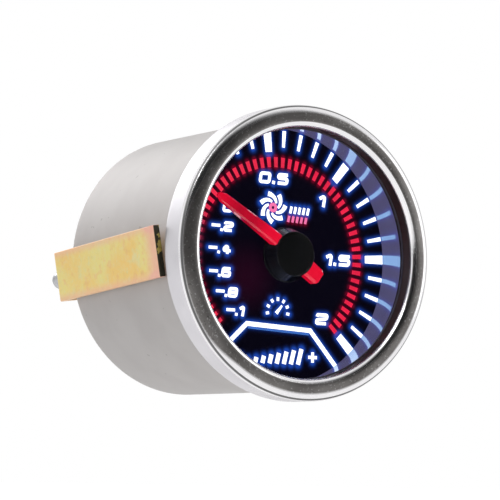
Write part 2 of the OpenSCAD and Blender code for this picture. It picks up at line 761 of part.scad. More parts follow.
// Slotted screw whose head's seat is at depth 0 and whose head is in front of it
module slotted_screw(head_r, head_h, shank_r, shank_l) {
    difference() {
        rod(head_r, -head_h, 0);
        translate([-head_r - overrun, -head_h - overrun, -screw_slot_w / 2])
            cube([2 * head_r + 2 * overrun, screw_slot_d + overrun, screw_slot_w]);
    }
    rod(shank_r, 0, shank_l);
}

module pillar_screws() color([0.62, 0.62, 0.64]) for (i = [0 : pillar_last]) {
    at = pillar_at(i);
    translate([at[0], front_plate_front, at[1]])
        slotted_screw(pillar_head_r, pillar_head_h, pillar_screw_r, front_plate_t + pillar_screw_l);
    translate([at[0], rear_plate_back, at[1]]) rotate([0, 0, half_turn])
        slotted_screw(pillar_head_r, pillar_head_h, pillar_screw_r, rear_plate_t + pillar_screw_l);
}

// Pie slice from the centre, symmetric about the direction to the right
module pie(r, half_angle) polygon([
    [0, 0],
    for (i = [-quarter_steps : quarter_steps]) polar(r, half_angle * i / quarter_steps)
]);

sector_tooth_step = full_turn / sector_teeth;
sector_spare_teeth = 1;
sector_first = -floor(sector_rise / sector_tooth_step) - sector_spare_teeth;
sector_last = floor(sector_fall / sector_tooth_step) + sector_spare_teeth;
sector_half_angle = (sector_last - sector_first + 1) * sector_tooth_step / 2;
sector_mid_angle = (sector_last + sector_first) * sector_tooth_step / 2;

// Toothed sector with two arms, a rim and a tail that carries the link's pin
module sector_gear() color([0.87, 0.74, 0.38]) {
    rim_inner_r = root_r(sector_teeth) - sector_rim_w;
    translate([sector_at[0], 0, sector_at[1]]) slab(sector_front, sector_t) difference() {
        union() {
            circle(r = sector_hub_r);
            rotate(sector_face_angle) for (i = [sector_first : sector_last])
                rotate(i * sector_tooth_step) tooth(sector_teeth);
            rotate(sector_face_angle + sector_mid_angle) difference() {
                pie(root_r(sector_teeth), sector_half_angle);
                circle(r = rim_inner_r);
            }
            for (side = [-1, 1])
                rotate(sector_face_angle + sector_mid_angle + side * sector_half_angle)
                    translate([0, -side * sector_arm_w / 2 - sector_arm_w / 2])
                    square([root_r(sector_teeth) - sector_rim_w / 2, sector_arm_w]);
            rotate(tail_angle) translate([0, -sector_arm_w / 2]) square([tail_arm, sector_arm_w]);
            translate(polar(tail_arm, tail_angle)) circle(r = eye_r);
        }
        circle(r = sector_arbor_r);
        translate(polar(tail_arm, tail_angle)) circle(r = link_pin_r);
    }
}

module sector_arbor() color([0.75, 0.75, 0.78]) {
    rod(pivot_r, front_plate_front, front_plate_back + run_gap, sector_at);
    rod(sector_arbor_r, front_plate_back + run_gap, rear_plate_front - run_gap, sector_at);
    rod(pivot_r, rear_plate_front - run_gap, rear_plate_back, sector_at);
}

module link_pin() color([0.75, 0.75, 0.78])
    rod(link_pin_r, sector_front, link_back + link_gap, tail_at);

// Flat link with a round eye on the sector's pin and a slotted eye on the tube's pin
module link_rod() color([0.86, 0.73, 0.38]) translate([tail_at[0], 0, tail_at[1]]) swing(link_angle)
    slab(link_front, link_t) difference() {
        union() {
            circle(r = eye_r);
            translate([0, -link_w / 2]) square([link_l, link_w]);
            translate([link_l - slot_in, -slot_eye_r]) square([slot_in + slot_out, 2 * slot_eye_r]);
            translate([link_l - slot_in, 0]) circle(r = slot_eye_r);
            translate([link_l + slot_out, 0]) circle(r = slot_eye_r);
        }
        circle(r = link_pin_r + pivot_gap);
        translate([link_l - slot_in, -slot_r]) square([slot_in + slot_out, 2 * slot_r]);
        translate([link_l - slot_in, 0]) circle(r = slot_r);
        translate([link_l + slot_out, 0]) circle(r = slot_r);
    }

// Section of the flattened tube, as [radius, depth], shrunk by a wall
module tube_section(shrink) {
    half_t = tube_t / 2;
    r = half_t - shrink;
    translate([tube_ring_r - r, tube_front + half_t]) square([2 * r, tube_w - tube_t]);
    translate([tube_ring_r, tube_front + half_t]) circle(r = r);
    translate([tube_ring_r, tube_front + tube_w - half_t]) circle(r = r);
}

// Part of a ring about the body's axis, clockwise seen from the front from one angle to another
module arc_turned(from, to) swing(from) rotate([-90, 0, 0]) rotate_extrude(angle = from - to) children();

module bourdon_tube() color([0.80, 0.62, 0.32]) arc_turned(tube_root_angle, tube_tip_angle) difference() {
    tube_section(0);
    tube_section(tube_wall);
}

// Block soldered on the tube's tip, with a pin that reaches forward to the link
module tip_block() color([0.84, 0.70, 0.36]) {
    arc_turned(tube_tip_angle, tube_tip_angle - tip_block_arc)
        translate([tube_ring_r - (tube_t + tip_block_extra) / 2, tube_front])
        square([tube_t + tip_block_extra, tube_w]);
    rod(link_pin_r, link_front - link_gap, tube_front + link_gap, tip_at);
}

// Brass block, threaded neck and hose pipe in one piece
module port_stem() color([0.85, 0.70, 0.32]) {
    root_at = polar(tube_ring_r, tube_root_angle);
    to_root = root_at - port_at;
    difference() {
        union() {
            translate([-block_w / 2, rear_plate_back, -port_drop - block_down])
                cube([block_w, wall_front - rear_plate_back, block_up + block_down]);
            rod(port_thread_r, wall_front, thread_end, port_at);
            translate([port_at[0], thread_end, port_at[1]]) rotate([-90, 0, 0]) rotate_extrude() polygon([
                [0, 0], [pipe_r, 0], [pipe_r, pipe_l - pipe_edge], [pipe_r - pipe_edge, pipe_l], [0, pipe_l]
            ]);
        }
        rod(passage_r, tube_mid, pipe_end + overrun, port_at);
        translate([port_at[0], tube_mid, port_at[1]]) swing(atan2(to_root[1], to_root[0]))
            rotate([0, 90, 0]) cylinder(r = passage_r - tube_wall, h = norm(to_root));
        arc_turned(tube_root_angle, half_turn) tube_section(-solder_gap);
        for (side = [-1, 1])
            rod(block_screw_r + thread_gap, rear_plate_back - overrun,
                rear_plate_back + block_screw_l + run_gap, block_screw_at(side));
    }
}

module port_washer() color([0.75, 0.75, 0.77])
    pipe(port_washer_r, port_thread_r + washer_gap, body_back, port_nut_front, port_at);

module port_nut() color([0.85, 0.70, 0.32]) difference() {
    hex_bar(port_nut_af, port_nut_front, port_nut_back, port_at);
    rod(port_thread_r + thread_gap, port_nut_front - overrun, port_nut_back + overrun, port_at);
}

module movement_screws() color([0.62, 0.62, 0.64]) for (side = [-1, 1]) {
    at = block_screw_at(side);
    translate([at[0], rear_plate_front, at[1]])
        slotted_screw(block_head_r, block_head_h, block_screw_r, rear_plate_t + block_screw_l);
}

// Threaded studs with flat heads against the inside of the back wall
module mounting_studs() color([0.78, 0.78, 0.80]) for (side = [-1, 1]) {
    at = stud_at(side);
    rod(stud_head_r, wall_front - stud_head_h, wall_front, at);
    translate([at[0], wall_front, at[1]]) rotate([-90, 0, 0]) rotate_extrude() polygon([
        [0, 0], [stud_r, 0], [stud_r, stud_tip - wall_front - stud_edge],
        [stud_r - stud_edge, stud_tip - wall_front], [0, stud_tip - wall_front]
    ]);
}

// Rubber bush in the back wall for the lamp's wires
module wire_grommet() color([0.06, 0.06, 0.06])
    translate([0, body_back, grommet_up]) rotate([-90, 0, 0]) rotate_extrude() {
        edge = grommet_flange_t / 2;
        neck_r = grommet_hole_r - seat_gap;
        polygon([
            [grommet_bore_r, -body_sheet - grommet_inner_t],
            [grommet_flange_r, -body_sheet - grommet_inner_t],
            [grommet_flange_r, -body_sheet], [neck_r, -body_sheet], [neck_r, 0],
            [grommet_flange_r, 0], [grommet_flange_r, edge], [grommet_flange_r - edge, grommet_flange_t],
            [grommet_bore_r, grommet_flange_t]
        ]);
    }

// U outline of the clamp seen from above, for a half width, a back face and a bend
module clamp_outline(half_w, back, bend_r) {
    translate([-half_w, panel_gap - overrun]) square([2 * half_w, back - bend_r - panel_gap + overrun]);
    translate([-half_w + bend_r, back - 2 * bend_r]) square([2 * (half_w - bend_r), 2 * bend_r]);
    for (side = [-1, 1]) translate([side * (half_w - bend_r), back - bend_r]) circle(r = bend_r);
}

// Puts the straight clamp where it hangs on its studs, turned and tipped
module clamp_pose() swing(clamp_turn) translate([0, (web_front + web_back) / 2, clamp_lift])
    rotate([-clamp_tilt, 0, 0]) translate([0, -(web_front + web_back) / 2, 0]) children();

// Plated steel strap bent to a U, with a hole for each stud
module clamp_bracket() color([0.85, 0.75, 0.42]) clamp_pose() difference() {
    translate([0, 0, -strap_w / 2]) linear_extrude(strap_w) intersection() {
        difference() {
            clamp_outline(arm_outer, web_back, clamp_bend_r);
            clamp_outline(arm_inner, web_front, clamp_inner_bend_r);
        }
        translate([-arm_outer, panel_gap]) square([2 * arm_outer, web_back - panel_gap]);
    }
    for (side = [-1, 1]) rod(clamp_hole_r, web_front - overrun, web_back + overrun, [side * stud_ring_r, 0]);
}

module clamp_washers() color([0.74, 0.74, 0.76]) for (side = [-1, 1])
    pipe(washer_r, stud_r + washer_gap, washer_front, washer_back, stud_at(side));

module clamp_spring_washers() color([0.60, 0.60, 0.63]) for (side = [-1, 1]) difference() {
    pipe(spring_washer_r, stud_r + washer_gap, washer_back, spring_washer_back, stud_at(side));
    translate([stud_at(side)[0], washer_back - overrun, stud_at(side)[1] - spring_washer_split / 2])
        cube([spring_washer_r + overrun, spring_washer_t + 2 * overrun, spring_washer_split]);
}

module clamp_nut(side) difference() {
    hex_bar(clamp_nut_af, spring_washer_back, clamp_nut_back, stud_at(side));
    rod(stud_r + thread_gap, spring_washer_back - overrun, clamp_nut_back + overrun, stud_at(side));
}

module clamp_nut_left() color([0.80, 0.80, 0.82]) clamp_nut(-1);

module clamp_nut_right() color([0.80, 0.80, 0.82]) clamp_nut(1);

housing_can();
bezel_ring();
lens();
lens_seal();
reflector_ring();
dial_plate();
light_guide();
board_spacer();
led_board();
white_leds();
red_leds();
board_socket();
socket_pins();
inner_liner();
pointer_blade();
pointer_cap();
pointer_arbor();
pinion();
hairspring();
hairspring_collet();
hairspring_post();
front_plate();
rear_plate();
plate_pillars();
pillar_screws();
sector_gear();
sector_arbor();
link_rod();
link_pin();
bourdon_tube();
tip_block();
port_stem();
port_washer();
port_nut();
movement_screws();
mounting_studs();
wire_grommet();
clamp_bracket();
clamp_washers();
clamp_spring_washers();
clamp_nut_left();
clamp_nut_right();
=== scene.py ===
import math

import bmesh
import bpy
import numpy as np
from mathutils import Matrix, Vector


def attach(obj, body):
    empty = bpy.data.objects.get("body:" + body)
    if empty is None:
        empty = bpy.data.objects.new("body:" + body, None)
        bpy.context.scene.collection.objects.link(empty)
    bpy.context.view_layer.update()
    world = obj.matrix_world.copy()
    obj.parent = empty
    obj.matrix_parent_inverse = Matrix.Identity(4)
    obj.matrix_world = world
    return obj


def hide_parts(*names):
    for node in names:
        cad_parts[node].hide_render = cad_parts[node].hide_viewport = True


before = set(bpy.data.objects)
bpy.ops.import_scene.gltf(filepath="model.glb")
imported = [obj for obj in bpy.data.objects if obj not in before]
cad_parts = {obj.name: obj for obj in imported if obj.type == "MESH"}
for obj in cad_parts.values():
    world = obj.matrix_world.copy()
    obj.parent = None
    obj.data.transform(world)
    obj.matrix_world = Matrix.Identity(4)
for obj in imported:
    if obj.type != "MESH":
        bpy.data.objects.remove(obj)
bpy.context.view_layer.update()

# The camera stands a little to the left of the dial and below its axis.
# A long lens keeps the body's sides nearly parallel.
eye = (-0.24814, -0.38076, -0.04108)
eye_right = (0.84605, -0.53275, 0.01957)
eye_up = (-0.06528, -0.06709, 0.99562)
eye_back = (-0.52910, -0.84361, -0.09154)
facing = Matrix((eye_right, eye_up, eye_back)).transposed().to_4x4()
camera = bpy.data.objects.new("camera", bpy.data.cameras.new("camera"))
camera.data.lens = 172.8
camera.data.sensor_width = 36.0
camera.data.clip_start = 0.01
camera.data.clip_end = 50.0
camera.matrix_world = Matrix.Translation(eye) @ facing
bpy.context.scene.collection.objects.link(camera)
bpy.context.scene.camera = camera
bpy.context.scene.view_settings.view_transform = "Standard"


# The studio is a white sweep. It shows white behind the gauge and in its metal and glass, apart
# from a darker side behind the camera. The sweep and three soft lamps light the gauge plainly.
class Value:
    """A shader socket in a sum: + - * and ** add Math nodes."""

    def __init__(self, finish, socket):
        self.finish, self.socket = finish, socket

    def maths(self, how, *values):
        return self.finish.node("ShaderNodeMath", {"operation": how}, values)

    def __add__(self, other):
        return self.maths("ADD", self, other)

    def __sub__(self, other):
        return self.maths("SUBTRACT", self, other)

    def __rsub__(self, other):
        return self.maths("SUBTRACT", other, self)

    def __mul__(self, other):
        return self.maths("MULTIPLY", self, other)

    def __pow__(self, other):
        return self.maths("POWER", self, other)

    __radd__ = __add__
    __rmul__ = __mul__

    def squared(self):
        return self.maths("MULTIPLY", self, self)

    def larger(self, other):
        return self.maths("MAXIMUM", self, other)

    def up_to_one(self):
        return self.maths("MINIMUM", self, 1.0)

    def unsigned(self):
        return self.maths("ABSOLUTE", self)

    def ramp(self, low, high):
        """0 below low, 1 above high, and smooth between them."""
        settings = {"interpolation_type": "SMOOTHSTEP"}
        return self.finish.node("ShaderNodeMapRange", settings, [self, low, high])


class Finish:
    """A material while its nodes are made. Colours are given as red, green and blue."""

    def __init__(self, name, tree=None):
        if tree is None:
            self.material = bpy.data.materials.new(name)
            self.material.use_nodes = True
            tree = self.material.node_tree
        self.tree = tree
        tree.nodes.clear()

    def node(self, kind, settings=(), inputs=(), out=0):
        """One node: its settings, then the values or links of its sockets, by name or number."""
        made = self.tree.nodes.new(kind)
        for key, value in dict(settings).items():
            setattr(made, key, value)
        for key, value in inputs.items() if isinstance(inputs, dict) else enumerate(inputs):
            socket = made.inputs[key]
            if isinstance(value, Value):
                self.tree.links.new(value.socket, socket)
            else:
                socket.default_value = (*value, 1.0) if socket.type == "RGBA" else value
        return Value(self, made.outputs[out] if made.outputs else None)

    def mix(self, share, first, second, how="MIX"):
        """The first colour where share is 0 and the second where it is 1."""
        settings = {"data_type": "RGBA", "blend_type": how}
        share_at, first_at, second_at, mixed_at = 0, 6, 7, 2
        inputs = {share_at: share, first_at: first, second_at: second}
        return self.node("ShaderNodeMix", settings, inputs, mixed_at)

    def place(self):
        return self.node("ShaderNodeTexCoord", out="Object")

    def across(self, axes="XYZ", vector=None):
        """How far right (X), deep (Y) and high (Z) a point or direction lies."""
        vector = vector or self.place()
        return [self.node("ShaderNodeSeparateXYZ", inputs=[vector], out=axis) for axis in axes]

    def noise(self, scale, detail=2.0, roughness=0.5, stretch=(1.0, 1.0, 1.0)):
        """Soft random values around a half. The grain is 1 / scale metres, over stretch."""
        vector = self.node("ShaderNodeMapping", inputs={"Vector": self.place(), "Scale": stretch})
        return self.node("ShaderNodeTexNoise", inputs={
            "Vector": vector, "Scale": scale, "Detail": detail, "Roughness": roughness})

    def bump(self, height, strength, distance):
        return self.node("ShaderNodeBump", inputs={
            "Height": height, "Strength": strength, "Distance": distance})

    def surface(self, inputs):
        """Ends the material with its main shader."""
        shader = self.node("ShaderNodeBsdfPrincipled", inputs=inputs)
        self.node("ShaderNodeOutputMaterial", inputs={"Surface": shader})
        return self.material

    def light_paths(self):
        """Whether a ray is the camera's own, and whether it was mirrored or came through glass."""
        seen, glossy, through = [
            self.node("ShaderNodeLightPath", out=f"Is {ray} Ray")
            for ray in ("Camera", "Glossy", "Transmission")]
        return seen, glossy.larger(through)


white, black = (1.0, 1.0, 1.0), (0.0, 0.0, 0.0)
mirrored_level, mirrored_dimming, plain_level = 0.95, 0.93, 0.24
world = bpy.data.worlds.new("studio")
world.use_nodes = True
bpy.context.scene.world = world
sweep = Finish("studio", world.node_tree)
seen, mirrored = sweep.light_paths()
mirrored = mirrored * (1.0 - seen)
direction = sweep.node("ShaderNodeTexCoord", out="Generated")
toward_reader = 0.0 - sweep.across("Y", direction)[0]
dim_side = toward_reader.ramp(0.38, 0.80)
level = (seen + mirrored * (mirrored_level - mirrored_dimming * dim_side)
         + (1.0 - seen) * (1.0 - mirrored) * plain_level)
sweep.node("ShaderNodeOutputWorld", inputs={
    "Surface": sweep.node("ShaderNodeBackground", inputs={"Color": white, "Strength": level})})

lamps = {
    "lamp_upper_left": ((-0.42, -0.30, 0.62), 0.45, 2.3),
    "lamp_right": ((0.78, -0.44, 0.12), 0.70, 1.9),
    "lamp_behind": ((-0.10, 0.75, 0.45), 0.50, 1.2),
}
for name, (where, side, power) in lamps.items():
    light = bpy.data.lights.new(name, "AREA")
    light.shape = "SQUARE"
    light.size = side
    light.energy = power
    lamp = bpy.data.objects.new(name, light)
    aimed = Vector(where).to_track_quat("Z", "Y").to_matrix().to_4x4()
    lamp.matrix_world = Matrix.Translation(where) @ aimed
    bpy.context.scene.collection.objects.link(lamp)

floor_reach, floor_height = 4.0, -0.075
floor_glow, floor_mirrored = 0.80, 0.7
floor_finish = Finish("pale_floor")
seen, mirrored = floor_finish.light_paths()
floor_mesh = bpy.data.meshes.new("floor")
floor_mesh.from_pydata(
    [(x * floor_reach, y * floor_reach, floor_height)
     for x, y in ((-1, -1), (1, -1), (1, 1), (-1, 1))], [], [(0, 1, 2, 3)])
floor_mesh.materials.append(floor_finish.surface({
    "Base Color": (0.80, 0.80, 0.80), "Roughness": 0.9, "Emission Color": white,
    "Emission Strength": (seen + floor_mirrored * mirrored) * floor_glow}))
floor = bpy.data.objects.new("floor", floor_mesh)
bpy.context.scene.collection.objects.link(floor)


# The body is a drawn steel can with a satin grey plating. Its open front has a rolled flange in
# the bezel, and its flat back is pierced for two studs, the pressure port and the lamp's wires.
def quads(rows, columns, close_rows, close_columns):
    """The four corners of each cell of a grid of points, going round where an end is closed."""
    i = np.arange(rows - (not close_rows))[:, None]
    j = np.arange(columns - (not close_columns))[None, :]
    below, beside = (i + 1) % rows, (j + 1) % columns
    cells = [i * columns + j, i * columns + beside, below * columns + beside, below * columns + j]
    return np.stack(np.broadcast_arrays(*cells), -1).reshape(-1, 4).tolist()


def turned(outline, steps, at=(0.0, 0.0)):
    """A closed outline of [radius, depth] goes round a centre.

    A point of it goes to [radius sin t, depth, radius cos t], with t a full turn in steps.
    """
    radius, depth = np.asarray(outline, float).T
    t = np.arange(steps) * 2 * np.pi / steps
    points = [at[0] + np.outer(np.sin(t), radius), np.outer(np.ones(steps), depth),
              at[1] + np.outer(np.cos(t), radius)]
    return np.stack(points, -1).reshape(-1, 3), quads(steps, len(radius), True, True)


def quarter(centre, half_width, half_height, start, end, steps=16):
    """Points of an ellipse: centre + [half_width cos a, half_height sin a], a in degrees."""
    a = np.radians(np.linspace(start, end, steps))
    return np.stack([centre[0] + half_width * np.cos(a), centre[1] + half_height * np.sin(a)], -1)


def shaded(mesh, crease):
    """Makes a mesh smooth, apart from edges sharper than crease degrees."""
    mesh.shade_smooth()
    mesh.set_sharp_from_angle(angle=math.radians(crease))
    return mesh


def skin(name, points, faces, crease=32.0):
    """A closed mesh in metres: doubles merged, normals outwards, and no loose edges."""
    mesh = bpy.data.meshes.new(name)
    mesh.from_pydata((np.asarray(points, float) * mm).tolist(), [], faces)
    work = bmesh.new()
    work.from_mesh(mesh)
    bmesh.ops.remove_doubles(work, verts=work.verts, dist=1e-7)
    loose = [edge for edge in work.edges if not edge.link_faces]
    bmesh.ops.delete(work, geom=loose, context="EDGES")
    bmesh.ops.recalc_face_normals(work, faces=work.faces)
    work.to_mesh(mesh)
    work.free()
    piece = bpy.data.objects.new(name, shaded(mesh, crease))
    bpy.context.scene.collection.objects.link(piece)
    return piece


def fitted(piece, look, body, slot, *nodes):
    """Gives a piece its finish, the body that it rides on and any CAD nodes it stands for."""
    piece.data.materials.clear()
    piece.data.materials.append(look)
    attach(piece, body)
    if nodes:
        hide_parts(*nodes)


def drilled(piece, cutters, crease=32.0):
    """Cuts closed meshes out of a piece and keeps the result as its mesh."""
    for cutter in cutters:
        cut = piece.modifiers.new("hole", "BOOLEAN")
        cut.object = cutter
        cut.solver = "EXACT"
    bpy.context.view_layer.update()
    solid = piece.evaluated_get(bpy.context.evaluated_depsgraph_get())
    mesh = bpy.data.meshes.new_from_object(solid)
    piece.modifiers.clear()
    piece.data = shaded(mesh, crease)
    for cutter in cutters:
        bpy.data.objects.remove(cutter)


mm = 0.001
body_r, inner_r, body_back, sheet, edge_r = 26.0, 25.4, 40.7, 0.6, 1.5
flange_r, flange_front, flange_back = 27.15, -1.3, -0.7
edge_at = (body_r - edge_r, body_back - edge_r)
stud_ring_r, stud_angle = 19.0, math.radians(8.3)
stud_left = (-stud_ring_r * math.cos(stud_angle), -stud_ring_r * math.sin(stud_angle))
stud_right = (-stud_left[0], -stud_left[1])
port_at, grommet_at = (0.0, -14.0), (0.0, 13.0)
flat_from, flat_to, side_to, side_from, can_steps = 3.0, 22.0, 37.0, 1.0, 240
stud_hole_r, port_hole_r, grommet_hole_r = 2.03, 4.03, 4.0
drill_from, drill_to = 38.0, 42.0
can_outline = np.concatenate([
    [[0.0, body_back - sheet], [0.0, body_back]],
    np.linspace((flat_from, body_back), (flat_to, body_back), 4),
    quarter(edge_at, edge_r, edge_r, 90, 0),
    np.linspace((body_r, side_to), (body_r, side_from), 8),
    [[body_r, flange_back], [flange_r, flange_back], [flange_r, flange_front],
     [inner_r, flange_front]],
    quarter(edge_at, edge_r - sheet, edge_r - sheet, 0, 90)])
can = skin("body_can", *turned(can_outline, can_steps))
holes = [(stud_hole_r, stud_left), (stud_hole_r, stud_right), (port_hole_r, port_at),
         (grommet_hole_r, grommet_at)]
drilled(can, [
    skin("hole", *turned([[0, drill_from], [r, drill_from], [r, drill_to], [0, drill_to]], 48, at))
    for r, at in holes])
plating_dark, plating_light = (0.545, 0.518, 0.510), (0.600, 0.575, 0.566)
streak_grey, speck_grey = (0.44, 0.42, 0.41), (0.27, 0.25, 0.24)
satin = Finish("satin_plating")
cloud = satin.noise(90.0, 3.0)
grain = satin.noise(2600.0, 2.0, 0.6)
speck = satin.noise(760.0, 1.0).ramp(0.755, 0.78)
streak = satin.noise(160.0, 4.0, 0.7, (1.0, 9.0, 1.0)).ramp(0.70, 0.74)
plated = satin.mix(cloud.ramp(0.3, 0.7), plating_dark, plating_light)
plated = satin.mix(streak * 0.30, plated, streak_grey)
plated = satin.mix(speck * 0.45, plated, speck_grey)
fitted(can, satin.surface({
    "Base Color": plated, "Metallic": 0.38, "Roughness": 0.42 + 0.10 * cloud - 0.06 * streak,
    "Normal": satin.bump(grain + 0.6 * speck, 0.10, 0.00005)}),
    "case", "can_steel", "housing_can")

# The bezel is a spun stainless ring, rolled over the can's flange. Its inner lip is polished and
# its side is a lighter satin. Its bulged face between them is a satin with fine dust and pits,
# coloured dark as painted shade for the dim front of the studio that it mirrors, and this painted
# dark band reaches further out on the left. A thin dark line of painted groove shade runs round the
# face's outer edge, and the bore behind the lip is painted a dark brown shade.
bezel_r, opening_r, crest_r, bezel_front = 28.0, 23.8, 25.2, -6.45
face_h, roll_w, roll_h, metal = 1.45, 1.4, 0.95, 0.7
seat_r, seat_edge, side_front = body_r + 0.1, 0.35, -4.6
side_back, bore_front, bore_back, front_steps = -1.0, -5.0, -3.3, 320
crest_at, roll_at = (crest_r, bezel_front + face_h), (crest_r, bezel_front + roll_h)
bezel_outline = np.concatenate([
    [[seat_r, 0.0]],
    quarter((bezel_r - seat_edge, -seat_edge), seat_edge, seat_edge, 90, 0, 6),
    np.linspace((bezel_r, side_back), (bezel_r, side_front), 4),
    quarter(crest_at, bezel_r - crest_r, face_h, 0, -90, 36),
    quarter(roll_at, roll_w, roll_h, -90, -180, 28)[1:],
    np.linspace((opening_r, bore_front), (opening_r, bore_back), 4),
    [[opening_r + metal, bore_back]],
    quarter(roll_at, roll_w - metal, roll_h - metal, -180, -90),
    quarter(crest_at, bezel_r - crest_r - metal, face_h - metal, -90, 0)[1:],
    [[bezel_r - metal, -metal], [seat_r, -metal]]])
bezel = skin("bezel", *turned(bezel_outline, front_steps), crease=40)
side_depth, side_reach = (-0.00525, -0.00500), (0.0262, 0.0264)
bore_depth, bore_reach = (-0.00565, -0.00545), (0.0240, 0.0241)
lip_reach, face_reach = (0.02458, 0.02480), (0.02630, 0.02690)
groove_shade_inner, groove_shade_outer = (0.02744, 0.02756), (0.02776, 0.02788)
shade_widening_direction, shade_widening_zone, shade_widening = (0.97, 0.25), (0.0195, 0.0265), 0.0009
face_shade_dark, face_shade_light = (0.115, 0.108, 0.104), (0.215, 0.206, 0.200)
dust_grey, pit_black = (0.62, 0.61, 0.62), (0.05, 0.047, 0.045)
polish_dark, polish_light = (0.82, 0.81, 0.83), (0.90, 0.89, 0.90)
side_dark, side_light = (0.62, 0.605, 0.635), (0.70, 0.685, 0.715)
bore_shade_brown, groove_shade_black = (0.10, 0.09, 0.085), (0.08, 0.08, 0.08)
stainless = Finish("spun_stainless")
x, y, z = stainless.across()
reach = (x * x + z * z) ** 0.5
side = y.ramp(*side_depth) * reach.ramp(*side_reach)
lip = 1.0 - reach.ramp(*lip_reach)
# The painted dark band of the face reaches further out on the left.
shade_wider_left = (0.0 - shade_widening_direction[0] * x - shade_widening_direction[1] * z).ramp(*shade_widening_zone)
face_edge = (reach - shade_widening * shade_wider_left).ramp(*face_reach)
face = (1.0 - lip) * (1.0 - face_edge) * (1.0 - side)
# A thin ring of painted groove shade near the face's outer edge.
groove_shade_line = reach.ramp(*groove_shade_inner) * (1.0 - reach.ramp(*groove_shade_outer)) * (1.0 - side)
bore = y.ramp(*bore_depth) * (1.0 - reach.ramp(*bore_reach))
dust = stainless.noise(2600.0, 2.0, 0.55).ramp(0.60, 0.70)
pit = stainless.noise(1700.0, 1.0, 0.5).ramp(0.66, 0.74)
stain = stainless.noise(70.0, 3.0)
stained = stain.ramp(0.3, 0.7)
# The face's dark colours are painted shade; fine dust and pits lie over them.
face_shade_and_dust = stainless.mix(stain.ramp(0.35, 0.68), face_shade_dark, face_shade_light)
face_shade_and_dust = stainless.mix(dust * 0.35, face_shade_and_dust, dust_grey)
face_shade_and_dust = stainless.mix(pit * 0.5, face_shade_and_dust, pit_black)
polished = stainless.mix(stained, polish_dark, polish_light)
satin_side = stainless.mix(stained, side_dark, side_light)
steel_tint = stainless.mix(side, stainless.mix(face, polished, face_shade_and_dust), satin_side)
# The bore behind the lip is painted a dark brown shade.
steel_tint = stainless.mix(bore, steel_tint, bore_shade_brown)
steel_tint = stainless.mix(0.9 * groove_shade_line, steel_tint, groove_shade_black)
roughness = 0.11 + 0.23 * face + 0.24 * side + 0.35 * bore + 0.30 * groove_shade_line + 0.05 * stain
fitted(bezel, stainless.surface({
    "Base Color": steel_tint, "Metallic": 1.0, "Roughness": roughness,
    "Normal": stainless.bump(dust - pit, 0.14, 0.00003)}),
    "case", "bezel_steel", "bezel_ring")


# The lens is a flat disc of clear coated glass. Its index is set lower than plain glass has, so
# that it hardly mirrors the pale floor.
def dressed(look, slot, *names):
    """Gives CAD nodes that are shown as they are their finish."""
    for name in names:
        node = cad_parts[name]
        node.data.materials.clear()
        node.data.materials.append(look)


glass = Finish("coated_glass")
coating = glass.mix(glass.noise(60.0, 2.0), (0.96, 0.97, 1.0), white)
dressed(glass.surface({
    "Base Color": coating, "Roughness": 0.0, "Transmission Weight": 1.0, "IOR": 1.18}),
    "lens_glass", "lens")

# A moulded black rubber channel holds the lens in the bezel, and its thin front lip covers the
# glass's edge. The lip is coloured a lighter violet-grey than the rubber, as a painted highlight.
# The bush of the wire inlet is the same rubber.
lip_r, lip_edge_r, lip_middle, lip_half, opening_edge = 23.58, 0.16, -3.1, 0.17, 24.35
rubber_dark, rubber_light = (0.008, 0.008, 0.009), (0.020, 0.020, 0.022)
lip_highlight_dark, lip_highlight_light = (0.030, 0.026, 0.045), (0.060, 0.052, 0.085)


def rubber_look(name, dark, light, least_rough, bump_strength, bump_depth):
    """Rubber with a fine grain."""
    rubber = Finish(name)
    rubber_grain = rubber.noise(1500.0, 3.0)
    return rubber.surface({
        "Base Color": rubber.mix(rubber_grain, dark, light),
        "Roughness": least_rough + 0.2 * rubber_grain,
        "Normal": rubber.bump(rubber_grain, bump_strength, bump_depth)})


dressed(rubber_look("black_rubber", rubber_dark, rubber_light, 0.55, 0.2, 0.00005),
        "seal_rubber", "lens_seal", "wire_grommet")
lip_outline = np.concatenate([
    [[opening_edge, lip_middle + lip_half], [opening_edge, lip_middle - lip_half]],
    quarter((lip_r + lip_edge_r, lip_middle), lip_edge_r, lip_edge_r, -90, -270, 10)])
# The lip's lighter violet-grey tint is a painted highlight.
fitted(skin("seal_lip", *turned(lip_outline, front_steps)),
       rubber_look("lip_rubber_painted_highlight", lip_highlight_dark, lip_highlight_light, 0.30, 0.1, 0.00003), "case", "seal_rubber")

# The reflector is a glossy blue-violet plastic ring between lens and dial, with a faint painted
# glow in place of the light that reaches it through the lens. Its inner wall mirrors the lit scale.
seal_r, insert_r, dial_front, reflector_front = 24.3, 25.3, 5.2, -1.3
wall_shape = [(24.7, dial_front), (24.6, 3.6), (24.45, 1.2)]
violet_dark, violet_light = (0.09, 0.21, 0.36), (0.12, 0.26, 0.43)
painted_glow_dark, painted_glow_light = (0.110, 0.100, 0.230), (0.150, 0.130, 0.270)
reflector = skin("reflector", *turned([
    (seal_r, reflector_front), (insert_r, reflector_front), (insert_r, dial_front),
    *wall_shape], front_steps), 40)
violet = Finish("violet_plastic")
haze = violet.noise(240.0, 2.0)
# Its emission is a painted glow.
fitted(reflector, violet.surface({
    "Base Color": violet.mix(haze, violet_dark, violet_light), "Metallic": 0.9,
    "Roughness": 0.07 + 0.06 * haze,
    "Emission Color": violet.mix(haze, painted_glow_dark, painted_glow_light), "Emission Strength": 0.6}),
    "case", "reflector_plastic", "reflector_ring")


# The dial is a black printed plate. Its scale, numbers and signs are clear windows in the print,
# lit from behind, with a blue haze in the print around the white ones. The arc's short bars are
# red. A red glow left of and below the hub and a blue glow at the print's left edge are painted
# light.
def clock(radius, degrees):
    """A point of the dial at an angle a clockwise from the top: [radius sin a, radius cos a]."""
    a = np.radians(degrees)
    return np.array([radius * np.sin(a) + print_at[0], radius * np.cos(a) + print_at[1]])


